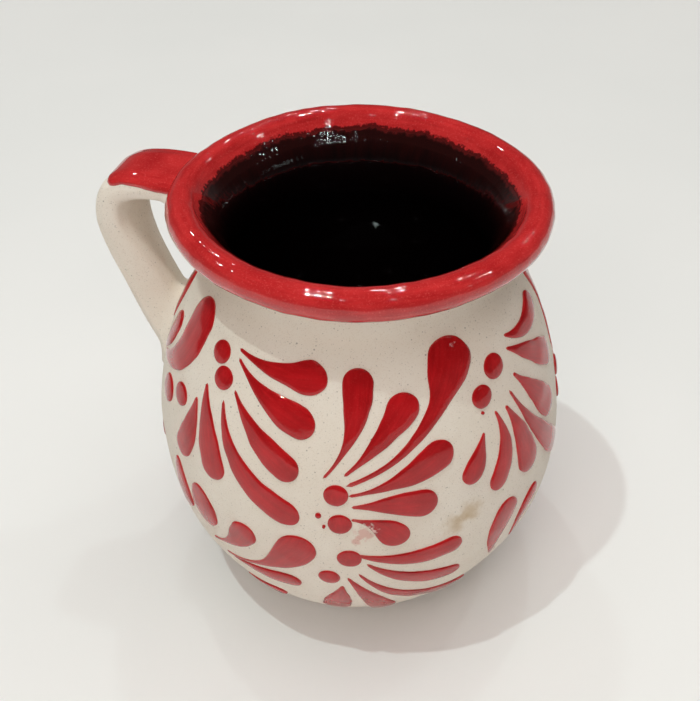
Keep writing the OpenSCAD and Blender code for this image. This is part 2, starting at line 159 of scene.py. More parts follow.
@dataclass(frozen=True)
class WallLine:
    """The line of the thrown wall: the same arcs as in the part's source.

    Each field is a length, apart from the turn past the neck at which the red coat starts.
    """

    height: float = 109 * MM
    belly_r: float = 50 * MM
    belly_h: float = 45 * MM
    low_arc: float = 57.5 * MM
    high_arc: float = 77 * MM
    wall: float = 3.5 * MM
    floor: float = 5 * MM
    foot_round: float = 2 * MM
    floor_round: float = 8 * MM
    mouth_r: float = 43 * MM
    lip: float = 3.2 * MM
    neck_round: float = 7 * MM
    coat: float = 0.4 * MM
    inner_coat: float = 0.35 * MM
    coat_start_turn: float = 22

    @cached_property
    def low_centre(self) -> Point:
        """Centre of the arc below the widest line."""
        return self.belly_r - self.low_arc, self.belly_h

    @cached_property
    def high_centre(self) -> Point:
        """Centre of the arc above the widest line."""
        return self.belly_r - self.high_arc, self.belly_h

    @cached_property
    def lip_centre(self) -> Point:
        """Centre of the roll of the rim, seen in section."""
        return self.mouth_r - self.coat - self.lip, self.height - self.coat - self.lip

    @cached_property
    def neck_centre(self) -> Point:
        """Centre of the hollow of the neck, which touches the belly and the roll.

        Returns:
            Its radius and height.
        """
        (hx, hz), (lx, lz) = self.high_centre, self.lip_centre
        span = math.hypot(lx - hx, lz - hz)
        to_belly, to_lip = self.high_arc + self.neck_round, self.neck_round + self.lip
        along = (to_belly**2 - to_lip**2 + span**2) / (2 * span)
        aside = math.sqrt(max(to_belly**2 - along**2, 0.0))
        ux, uz = (lx - hx) / span, (lz - hz) / span
        return hx + along * ux + aside * uz, hz + along * uz - aside * ux

    @cached_property
    def belly_top(self) -> float:
        """Angle on the high arc at which the neck starts."""
        return heading(self.high_centre, self.neck_centre)

    @cached_property
    def neck_high(self) -> float:
        """Angle on the neck at which the roll starts."""
        return heading(self.neck_centre, self.lip_centre)

    @cached_property
    def foot_centre(self) -> Point:
        """Centre of the small rounding at the foot."""
        reach = (self.low_arc - self.foot_round) ** 2 - (self.belly_h - self.foot_round) ** 2
        return self.low_centre[0] + math.sqrt(reach), self.foot_round

    @cached_property
    def foot_angle(self) -> float:
        """Angle on the low arc at which the foot starts."""
        return heading(self.low_centre, self.foot_centre)

    @cached_property
    def inner_neck(self) -> float:
        """Radius of the neck's arc on the inside."""
        return self.neck_round + self.wall

    @cached_property
    def throat_angle(self) -> float:
        """Direction in which the straight throat faces."""
        gap = math.dist(self.neck_centre, self.lip_centre)
        return self.neck_high + math.degrees(math.acos((self.inner_neck - self.lip) / gap))

    @cached_property
    def throat(self) -> tuple[Point, float, float, float]:
        """The straight throat.

        Returns:
            Its low end, its length, and how far it goes out and up for each metre.
        """
        low, top = self.throat_point(0.0), self.throat_point(1.0)
        length = math.dist(low, top)
        return low, length, (top[0] - low[0]) / length, (top[1] - low[1]) / length

    def throat_point(self, share: float, out: float = 0.0) -> Point:
        """A point on the throat.

        Args:
            share: Share of the way from the neck up to the roll.
            out: Distance off the clay.

        Returns:
            Its radius and height.
        """
        low = polar(self.neck_centre, self.inner_neck + out, self.throat_angle)
        high = polar(self.lip_centre, self.lip + out, self.throat_angle)
        return low[0] + share * (high[0] - low[0]), low[1] + share * (high[1] - low[1])

    def outer(self, steps: Sequence[int]) -> list[Point]:
        """The outer line of the clay from the foot up to the roll.

        Args:
            steps: Steps along the foot, the low arc, the high arc and the neck.

        Returns:
            The points from the foot up.
        """
        neck_low = self.belly_top + 180
        return [
            *arc(self.foot_centre, self.foot_round, -90, self.foot_angle, steps[0]),
            *arc(self.low_centre, self.low_arc, self.foot_angle, 0, steps[1])[1:],
            *arc(self.high_centre, self.high_arc, 0, self.belly_top, steps[2])[1:],
            *arc(self.neck_centre, self.neck_round, neck_low, self.neck_high, steps[3])[1:],
        ]

    def inner(self, steps: Sequence[int], out: float = 0.0) -> list[Point]:
        """The inner line of the wall from the throat down to the floor.

        Args:
            steps: Steps along the neck, the high arc, the low arc and the corner.
            out: Distance off the clay.

        Returns:
            The points from the throat down.
        """
        low = self.low_arc - self.wall
        reach = (low - self.floor_round) ** 2
        reach -= (self.belly_h - self.floor - self.floor_round) ** 2
        corner = self.low_centre[0] + math.sqrt(reach), self.floor + self.floor_round
        turn = heading(self.low_centre, corner)
        high = self.high_arc - self.wall
        neck_low = self.belly_top + 180
        return [
            *arc(self.neck_centre, self.inner_neck + out, self.throat_angle, neck_low, steps[0]),
            *arc(self.high_centre, high - out, self.belly_top, 0, steps[1])[1:],
            *arc(self.low_centre, low - out, 0, turn, steps[2])[1:],
            *arc(corner, self.floor_round - out, turn, -90, steps[3])[1:],
        ]

    def belly_radius(self, height: float) -> float:
        """Radius of the belly's arcs.

        Args:
            height: Height at which it is wanted.

        Returns:
            The radius.
        """
        centre, radius = self.high_centre, self.high_arc
        if height < self.belly_h:
            centre, radius = self.low_centre, self.low_arc
        return centre[0] + math.sqrt(max(radius**2 - (height - centre[1]) ** 2, 0.0))

    def climb_point(self, climb: float, out: float) -> Point:
        """Radius and height at a climb.

        Args:
            climb: The climb.
            out: Distance off the clay.

        Returns:
            The radius and the height.
        """
        if climb < 0:
            return polar(self.low_centre, self.low_arc + out, -climb * self.foot_angle)
        return polar(self.high_centre, self.high_arc + out, climb * self.belly_top)

    def on_belly(self, turn: float, climb: float, out: float = 0.0) -> Vector:
        """The place on the belly at a turn and a climb.

        Args:
            turn: Its turn in degrees.
            climb: Its climb.
            out: Distance off the clay.

        Returns:
            The place.
        """
        radius, height = self.climb_point(climb, out)
        angle = math.radians(turn)
        return Vector((radius * math.sin(angle), -radius * math.cos(angle), height))

    def belly_scale(self, climb: float) -> Point:
        """Metres for one degree of turn, and for a climb of one, at a climb."""
        rise = -self.low_arc * self.foot_angle if climb < 0 else self.high_arc * self.belly_top
        return math.radians(self.climb_point(climb, 0.0)[0]), math.radians(rise)


@dataclass(frozen=True)
class PottersHand:
    """Small departures from a true round that the potter's hand leaves.

    Attributes:
        oval: How much wider the rim is to the left and right.
        square: How much narrower the rim is on its diagonals.
        sway: How far the wall wanders from its circle.
        sway_wave: Length of the waves of that wander.
        ring: Depth of the throwing rings.
        ring_wave: Rise between two rings for each radian.
        lift: How far the rim waves up and down.
        rim_zone: Heights between which the belly's departures turn into the rim's.
        span: Radius of the ring on which the noise round the mug is read.
    """

    oval: float = 0.35 * MM
    square: float = 0.35 * MM
    sway: float = 0.22 * MM
    sway_wave: float = 26 * MM
    ring: float = 0.07 * MM
    ring_wave: float = 3.1 * MM
    lift: float = 0.18 * MM
    rim_zone: Point = (85 * MM, 104 * MM)
    span: float = 30 * MM

    def shape(self, place: Vector) -> Vector:
        """Moves a true point to where the hand left it.

        Args:
            place: A point of the truly round mug.

        Returns:
            The point on the thrown mug.
        """
        radius = section(place)[0]
        if radius < 1e-6:
            return place.copy()
        angle = math.atan2(place.y, place.x)
        rim = ease(*self.rim_zone, place.z)
        out = rim * (self.oval * math.cos(2 * angle) + self.square * math.cos(4 * angle))
        on_ring = Vector((math.cos(angle), math.sin(angle), 0)) * self.span
        out += self.sway * ripple(on_ring + Vector((0, 0, place.z)), self.sway_wave, 1.3)
        rings = math.sin(place.z / self.ring_wave + angle + 1.5 * ripple(place, 40 * MM, 4.1))
        out += self.ring * rings * (1 - rim)
        lift = rim * self.lift * ripple(on_ring, 20 * MM, 7.7)
        fade = ease(0.0, 25 * MM, radius) * ease(0.0, 6 * MM, place.z)
        scale = 1 + fade * out / radius
        return Vector((place.x * scale, place.y * scale, place.z + lift))


class NodeBench:
    """A bench on which the nodes of one finish are wired."""

    def __init__(self, name: str) -> None:
        """Starts an empty material with its surface shader.

        Args:
            name: Name of the material.
        """
        self.material = bpy.data.materials.new(name)
        self.material.use_nodes = True
        self.tree = self.material.node_tree
        self.tree.nodes.clear()
        self.shader = self.tree.nodes.new("ShaderNodeBsdfPrincipled")
        output = self.tree.nodes.new("ShaderNodeOutputMaterial")
        self.tree.links.new(self.shader.outputs[0], output.inputs[0])
        self.object_place = self.tree.nodes.new("ShaderNodeTexCoord").outputs["Object"]

    def put(self, socket: Socket, value: object) -> None:
        """Links a socket, or sets its value.

        Args:
            socket: The input socket.
            value: An output socket or a plain value.
        """
        if isinstance(value, Socket):
            self.tree.links.new(value, socket)
        else:
            socket.default_value = value

    def number(self, kind: str, *values: object, clamp: bool = False) -> Socket:
        """A Math node.

        Args:
            kind: Its operation.
            values: What its inputs take.
            clamp: Whether the result is kept between 0 and 1.

        Returns:
            Its output.
        """
        node = self.tree.nodes.new("ShaderNodeMath")
        node.operation = kind
        node.use_clamp = clamp
        for socket, value in zip(node.inputs, values, strict=False):
            self.put(socket, value)
        return node.outputs[0]

    def swing(self, value: object, reach: float) -> Socket:
        """A value from 0 to 1 turned into one that swings round 0 over a reach."""
        return self.number("MULTIPLY", self.number("SUBTRACT", value, 0.5), reach)

    def carried(self, name: str, output: str = "Vector") -> Socket:
        """Reads what the vertices of the mesh carry.

        Args:
            name: Name of the layer.
            output: Vector, or Fac for a single number.

        Returns:
            Its output.
        """
        node = self.tree.nodes.new("ShaderNodeAttribute")
        node.attribute_name = name
        return node.outputs[output]

    def part(self, vector: Socket, axis: int) -> Socket:
        """One of the three numbers of a vector.

        Args:
            vector: The vector.
            axis: 0, 1 or 2; of a trail these are metres along, metres across and depth.

        Returns:
            Its output.
        """
        split = self.tree.nodes.new("ShaderNodeSeparateXYZ")
        self.put(split.inputs[0], vector)
        return split.outputs[axis]

    def spread(
        self, value: object, low: float, high: float, to_low: float = 0.0, to_high: float = 1.0
    ) -> Socket:
        """A smooth Map Range node.

        Args:
            value: The value that it maps.
            low: Value that becomes to_low.
            high: Value that becomes to_high.
            to_low: Result at and below low.
            to_high: Result at and above high.

        Returns:
            Its output.
        """
        node = self.tree.nodes.new("ShaderNodeMapRange")
        node.interpolation_type = "SMOOTHSTEP"
        for socket, given in zip(node.inputs, (value, low, high, to_low, to_high), strict=False):
            self.put(socket, given)
        return node.outputs[0]

    def stretched(self, vector: Socket, scale: Row) -> Socket:
        """A Mapping node that scales a vector.

        Args:
            vector: The vector.
            scale: What each of its three numbers is multiplied by.

        Returns:
            Its output.
        """
        node = self.tree.nodes.new("ShaderNodeMapping")
        self.put(node.inputs["Vector"], vector)
        node.inputs["Scale"].default_value = scale
        return node.outputs[0]

    def cloud(
        self,
        size: float,
        detail: float = 2.0,
        vector: object = None,
        rough: float = 0.5,
        warp: float = 0.0,
    ) -> Socket:
        """A Noise node.

        Args:
            size: Length of its waves, in the units of the vector.
            detail: Its octaves.
            vector: What it reads; the object's own coordinates where it is left out.
            rough: Roughness of its octaves.
            warp: How much it twists itself.

        Returns:
            Its value output.
        """
        node = self.tree.nodes.new("ShaderNodeTexNoise")
        self.put(node.inputs["Vector"], self.object_place if vector is None else vector)
        node.inputs["Scale"].default_value = 1 / size
        node.inputs["Detail"].default_value = detail
        node.inputs["Roughness"].default_value = rough
        node.inputs["Distortion"].default_value = warp
        return node.outputs[0]

    def specks(self, size: float, radius: float, share: float) -> Socket:
        """Scattered round specks.

        Args:
            size: Mean distance between the places where a speck may lie.
            radius: Radius of the largest speck as a share of that distance.
            share: Share of the places that hold one.

        Returns:
            A mask that is 1 on the specks.
        """
        node = self.tree.nodes.new("ShaderNodeTexVoronoi")
        self.put(node.inputs["Vector"], self.object_place)
        node.inputs["Scale"].default_value = 1 / size
        split = self.tree.nodes.new("ShaderNodeSeparateColor")
        self.put(split.inputs[0], node.outputs["Color"])
        reach = self.number("MULTIPLY", split.outputs[1], radius)
        inside = self.number("SUBTRACT", reach, node.outputs["Distance"])
        here = self.number("LESS_THAN", split.outputs[0], share)
        return self.number("MULTIPLY", self.spread(inside, 0.0, radius * 0.35), here)

    def spot(self, place: Row, radius: float, ragged: float = 0.0, soft: float = 0.5) -> Socket:
        """A mask round one place of the object.

        Args:
            place: Centre of the spot.
            radius: Its radius.
            ragged: Share of the radius by which its edge wanders.
            soft: Share of the radius over which it fades.

        Returns:
            A mask that is 1 at the centre.
        """
        node = self.tree.nodes.new("ShaderNodeVectorMath")
        node.operation = "DISTANCE"
        self.put(node.inputs[0], self.object_place)
        node.inputs[1].default_value = place
        wander = self.swing(self.cloud(radius * 0.5, 4.0), 2 * ragged * radius)
        away = self.number("ADD", node.outputs["Value"], wander)
        return self.spread(away, radius * (1 - soft), radius, 1.0, 0.0)

    def blend(self, share: object, first: object, second: object) -> Socket:
        """A colour between two colours.

        Args:
            share: 0 for the first and 1 for the second.
            first: The first colour.
            second: The second colour.

        Returns:
            The mixed colour.
        """
        node = self.tree.nodes.new("ShaderNodeMix")
        node.data_type = "RGBA"
        self.put(node.inputs["Factor"], share)
        self.put(node.inputs[6], first)
        self.put(node.inputs[7], second)
        return node.outputs[2]

    def tinted(self, colour: object, over: object, mask: object, weight: float) -> Socket:
        """A colour with another laid over it where a mask is, at a weight."""
        return self.blend(self.number("MULTIPLY", mask, weight), colour, over)

    def relief(
        self, height: object, depth: float, strength: float = 1.0, under: object = None
    ) -> Socket:
        """A Bump node.

        Args:
            height: Height from 0 to 1.
            depth: Metres that a height of 1 stands for.
            strength: How strongly it shows.
            under: The normal of a coarser bump below it.

        Returns:
            The bumped normal.
        """
        node = self.tree.nodes.new("ShaderNodeBump")
        node.inputs["Strength"].default_value = strength
        node.inputs["Distance"].default_value = depth
        self.put(node.inputs["Height"], height)
        if under is not None:
            self.put(node.inputs["Normal"], under)
        return node.outputs[0]

    def dress(self, **sockets: object) -> Material:
        """Fills sockets of the shader.

        Args:
            sockets: What each takes, with underscores for the spaces in its name.

        Returns:
            The material.
        """
        for name, value in sockets.items():
            self.put(self.shader.inputs[name.replace("_", " ")], value)
        return self.material


@dataclass(frozen=True)
class BareClay:
    """Matt fired cream clay with fine dark specks, a few stains and fine grain.

    Attributes:
        cream: Its main colour.
        warm: Its warmer, darker patches.
        grit: Colour of the specks.
        tan: Colour of the dust in the grain.
        rust: Colour of the stains.
        blush: Red of the glaze that was wiped or spattered on the clay.
        stains: Places and radii of the tan stains.
        flecks: Places and radii of single dark flecks.
        spatters: Places and radii of small spatters of red.
        grits: Spacing in millimetres, radius share, share of places and strength of the specks.
        patchy: Strength of the broad warm patches.
        mottled: Strength of the small warm patches.
        dusty: Strength of the dust.
        stained: Strength of the stains.
        spattered: Strength of the spatters.
    """

    cream: Colour = (0.86, 0.79, 0.70, 1)
    warm: Colour = (0.78, 0.69, 0.585, 1)
    grit: Colour = (0.12, 0.085, 0.06, 1)
    tan: Colour = (0.50, 0.36, 0.23, 1)
    rust: Colour = (0.50, 0.33, 0.15, 1)
    blush: Colour = (0.60, 0.20, 0.17, 1)
    stains: tuple[Spot, ...] = (
        ((24.9 * MM, -43.1 * MM, 50.2 * MM), 4.5 * MM),
        ((21.5 * MM, -45.0 * MM, 48.0 * MM), 4.5 * MM),
    )
    flecks: tuple[Spot, ...] = (
        ((2.3 * MM, -44.5 * MM, 73.5 * MM), 0.45 * MM),
        ((26.9 * MM, -35.8 * MM, 72.8 * MM), 0.4 * MM),
    )
    spatters: tuple[Spot, ...] = (
        ((0.6 * MM, -49.8 * MM, 50.0 * MM), 2.5 * MM),
        ((-1.0 * MM, -49.8 * MM, 47.8 * MM), 1.5 * MM),
    )
    grits: tuple[Row, ...] = (
        (0.42, 0.42, 0.42, 0.26),
        (0.8, 0.28, 0.45, 0.34),
        (1.7, 0.16, 0.35, 0.55),
        (4.5, 0.075, 0.5, 0.85),
    )
    patchy: float = 0.55
    mottled: float = 0.22
    dusty: float = 0.26
    stained: float = 0.55
    spattered: float = 0.5

    def build(self) -> Material:
        """Wires the finish.

        Returns:
            The material.
        """
        bench = NodeBench("bare_clay")
        tone = bench.spread(bench.cloud(32 * MM, 3.0), 0.35, 0.70)
        colour = bench.tinted(self.cream, self.warm, tone, self.patchy)
        mottle = bench.spread(bench.cloud(3.2 * MM, 4.0, rough=0.6), 0.46, 0.72)
        colour = bench.tinted(colour, self.warm, mottle, self.mottled)
        grain = bench.cloud(0.32 * MM, 3.0, rough=0.7)
        colour = bench.tinted(colour, self.tan, bench.spread(grain, 0.52, 0.70), self.dusty)
        for size, radius, share, weight in self.grits:
            colour = bench.tinted(colour, self.grit, bench.specks(size * MM, radius, share), weight)
        for place, radius in self.stains:
            mask = bench.spot(place, radius, 0.7, 1.0)
            colour = bench.tinted(colour, self.rust, mask, self.stained)
        for place, radius in self.flecks:
            colour = bench.blend(bench.spot(place, radius, 0.4, 0.4), colour, self.grit)
        for place, radius in self.spatters:
            mask = bench.spot(place, radius, 0.9, 0.6)
            colour = bench.tinted(colour, self.blush, mask, self.spattered)
        rings = bench.cloud(1.0, 2.0, bench.stretched(bench.object_place, (25, 25, 420)))
        normal = bench.relief(rings, 0.10 * MM, 0.35)
        normal = bench.relief(bench.cloud(1.6 * MM, 3.0), 0.06 * MM, 0.5, normal)
        normal = bench.relief(grain, 0.035 * MM, 0.6, normal)
        rough = bench.spread(bench.cloud(5 * MM, 2.0), 0.3, 0.7, 0.74, 0.88)
        return bench.dress(
            Base_Color=colour, Roughness=rough, Normal=normal, Specular_IOR_Level=0.35
        )


@dataclass(frozen=True)
class RedGlaze:
    """Glossy opaque red glaze, brushed on the rim or trailed in strokes.

    Attributes:
        name: Name of the finish.
        deep: Colour where it is thick.
        bright: Colour where it is thinner.
        thin: Colour at its edges, where the clay shows through.
        pale: Colour of its fine flecks.
        dark: Colour of the dark glaze that runs into its inner edge.
        bare: Colour of the flaked patch.
        chip: Place and radius of the flaked patch.
        speckle: Strength of the fine flecks.
        pebble: Depth of the fine pebbled surface.
        shine: Strength of its gloss.
        roughness: Its least and greatest roughness.
    """

    name: str = "brushed_red_glaze"
    deep: Colour = (0.42, 0.014, 0.016, 1)
    bright: Colour = (0.61, 0.032, 0.033, 1)
    thin: Colour = (0.66, 0.16, 0.13, 1)
    pale: Colour = (0.72, 0.10, 0.09, 1)
    dark: Colour = (0.03, 0.003, 0.003, 1)
    bare: Colour = (0.80, 0.50, 0.46, 1)
    chip: Spot = ((0, 0, 0), 1 * MM)
    speckle: float = 0.5
    pebble: float = 0.02 * MM
    shine: float = 0.6
    roughness: Point = (0.022, 0.055)

    def build(self) -> Material:
        """Wires the finish.

        Returns:
            The material.
        """
        bench = NodeBench(self.name)
        trail = bench.carried(TRAIL)
        streak = bench.cloud(1.0, 4.0, bench.stretched(trail, (90, 900, 0)), 0.6, 0.4)
        pool = bench.cloud(7 * MM, 3.0)
        shares = bench.number("MULTIPLY", streak, 0.55), bench.number("MULTIPLY", pool, 0.45)
        mix = bench.number("ADD", *shares)
        colour = bench.blend(bench.spread(mix, 0.30, 0.70), self.deep, self.bright)
        flecks = bench.spread(bench.cloud(0.42 * MM, 3.0, rough=0.7), 0.52, 0.72)
        colour = bench.tinted(colour, self.pale, flecks, self.speckle)
        ragged = bench.swing(bench.cloud(0.9 * MM, 4.0), 0.5)
        cover = bench.number("ADD", bench.part(trail, 2), ragged)
        edge = bench.spread(cover, 0.02, 0.34, 1.0, 0.0)
        colour = bench.tinted(colour, self.thin, edge, 0.75)
        blots = bench.swing(bench.cloud(1.1 * MM, 4.0, rough=0.6), 1.6)
        inked = bench.spread(bench.number("ADD", bench.carried(STAIN, "Fac"), blots), 0.62, 0.92)
        colour = bench.tinted(colour, self.dark, inked, 0.85)
        torn = bench.spread(bench.cloud(1.5 * MM, 5.0, rough=0.7), 0.47, 0.53)
        flaked = bench.number("MULTIPLY", bench.spot(*self.chip, 1.1, 0.25), torn)
        colour = bench.blend(flaked, colour, self.bare)
        rough = bench.spread(bench.cloud(2.2 * MM, 3.0), 0.35, 0.75, *self.roughness)
        rough = bench.number("ADD", rough, bench.number("MULTIPLY", edge, 0.25))
        rough = bench.number("ADD", rough, bench.number("MULTIPLY", flaked, 0.5), clamp=True)
        normal = bench.relief(pool, 0.3 * MM, 0.25)
        normal = bench.relief(streak, 0.05 * MM, 0.3, normal)
        normal = bench.relief(bench.cloud(0.75 * MM, 2.0), self.pebble, 0.9, normal)
        normal = bench.relief(flaked, -0.25 * MM, 0.8, normal)
        return bench.dress(
            Base_Color=colour,
            Roughness=rough,
            Normal=normal,
            Specular_IOR_Level=0.42,
            Coat_Weight=self.shine,
            Coat_Roughness=0.03,
        )


@dataclass(frozen=True)
class DarkGlaze:
    """Glossy, nearly black glaze, a dark maroon where it thins out on the throat.

    Attributes:
        black: Its colour inside.
        maroon: Its colour near its upper edge.
        rust: Its colour right at the edge.
        roughness: Its least and greatest roughness.
    """

    black: Colour = (0.0030, 0.0012, 0.0014, 1)
    maroon: Colour = (0.017, 0.0022, 0.0020, 1)
    rust: Colour = (0.10, 0.008, 0.008, 1)
    roughness: Point = (0.02, 0.045)

    def build(self) -> Material:
        """Wires the finish.

        Returns:
            The material.
        """
        bench = NodeBench("dark_glaze")
        trail = bench.carried(TRAIL)
        down = bench.part(trail, 1)
        streaks = bench.cloud(1.0, 4.0, bench.stretched(trail, (420, 60, 0)), 0.6, 0.5)
        depth = bench.number("ADD", down, bench.swing(streaks, 9 * MM))
        colour = bench.blend(bench.spread(depth, 2 * MM, 13 * MM), self.maroon, self.black)
        close = bench.number("ADD", down, bench.swing(bench.cloud(1.3 * MM, 4.0), 2.2 * MM))
        colour = bench.blend(bench.spread(close, 0.0, 0.9 * MM, 0.85, 0.0), colour, self.rust)
        rough = bench.spread(bench.cloud(3 * MM, 3.0), 0.3, 0.7, *self.roughness)
        above = bench.spread(down, 3 * MM, 8 * MM, 1.0, 0.0)
        gloss = bench.number("MAXIMUM", above, bench.spread(down, 16 * MM, 24 * MM))
        upper = bench.spread(down, 9 * MM, 22 * MM, 1.0, 0.10)
        runs = bench.number("MULTIPLY", streaks, upper)
        swell = bench.number("MULTIPLY", bench.cloud(4 * MM, 2.0), upper)
        normal = bench.relief(runs, 0.30 * MM, 0.5)
        normal = bench.relief(swell, 0.35 * MM, 0.5, normal)
        return bench.dress(
            Base_Color=colour,
            Roughness=rough,
            Normal=normal,
            Specular_IOR_Level=0.5,
            Coat_Weight=gloss,
        )


@dataclass
class Finishes:
    """The finishes of the mug, ready to be put on its pieces."""

    clay: Material
    brushed: Material
    trailed: Material
    dark: Material


@dataclass
class Bench:
    """What every part of the mug is built with.

    Attributes:
        wall: The line of the wall.
        hand: The potter's hand.
        finishes: The finishes.
    """

    wall: WallLine
    hand: PottersHand
    finishes: Finishes

    def keep(
        self,
        mesh: Mesh,
        name: str,
        slot: Slot,
        finish: Material,
        *nodes: str,
    ) -> Piece:
        """Turns a finished bmesh into a piece that stands for CAD nodes.

        Args:
            mesh: The shape, in its place.
            name: Name of the piece.
            slot: Its slot of the record; not used.
            finish: Its finish.
            nodes: CAD nodes that it replaces.

        Returns:
            The piece.
        """
        data = bpy.data.meshes.new(name)
        mesh.to_mesh(data)
        mesh.free()
        data.shade_smooth()
        data.materials.append(finish)
        piece = bpy.data.objects.new(name, data)
        bpy.context.scene.collection.objects.link(piece)
        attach(piece, "root")
        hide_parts(*nodes)
        LOG.info("%s: %d faces, for %s", name, len(data.polygons), ", ".join(nodes))
        return piece


def drawn_line(
    mesh: Mesh, points: Sequence[Point], closed: bool = False
) -> list[bmesh.types.BMVert]:
    """Draws a line in the XZ plane by extruding one vertex from point to point.

    Args:
        mesh: Where it is drawn.
        points: Radius and height of each point.
        closed: Whether an edge joins the last point to the first.

    Returns:
        Its vertices in order.
    """
    first = bmesh.ops.create_vert(mesh, co=(points[0][0], 0, points[0][1]))["vert"][0]
    line = [first]
    for radius, height in points[1:]:
        made = bmesh.ops.extrude_vert_indiv(mesh, verts=[line[-1]])
        made["verts"][0].co = (radius, 0, height)
        line.append(made["verts"][0])
    if closed:
        bmesh.ops.contextual_create(mesh, geom=[line[-1], line[0]])
    return line


def neighbours(vert: bmesh.types.BMVert) -> list[bmesh.types.BMVert]:
    """The vertices at the other ends of a vertex's edges."""
    return [edge.other_vert(vert) for edge in vert.link_edges]


def turned(points: Sequence[Point], steps: int, closed: bool = False) -> Mesh:
    """Spins a line round the axis of the mug into a closed skin.

    Args:
        points: Radius and height of each point of the line.
        steps: Steps round the full turn.
        closed: Whether the line closes on itself, rather than on the axis.

    Returns:
        The skin, with faces that point outwards.
    """
    mesh = bmesh.new()
    drawn_line(mesh, points, closed)
    bmesh.ops.spin(
        mesh,
        geom=[*mesh.verts, *mesh.edges],
        cent=(0, 0, 0),
        axis=(0, 0, 1),
        angle=math.tau,
        steps=steps,
        use_merge=True,
        use_duplicate=False,
    )
    bmesh.ops.remove_doubles(mesh, verts=mesh.verts, dist=1e-7)
    bmesh.ops.recalc_face_normals(mesh, faces=mesh.faces)
    return mesh


def marked(mesh: Mesh, mark: Callable[[Vector], Vector]) -> bmesh.types.BMLayerItem:
    """Writes the trail of each vertex: metres along, metres across and depth of glaze.

    Args:
        mesh: The shape, still true.
        mark: Gives the trail at a place.

    Returns:
        The layer that holds the trails.
    """
    layer = mesh.verts.layers.float_vector.new(TRAIL)
    for vert in mesh.verts:
        vert[layer] = mark(vert.co)
    return layer


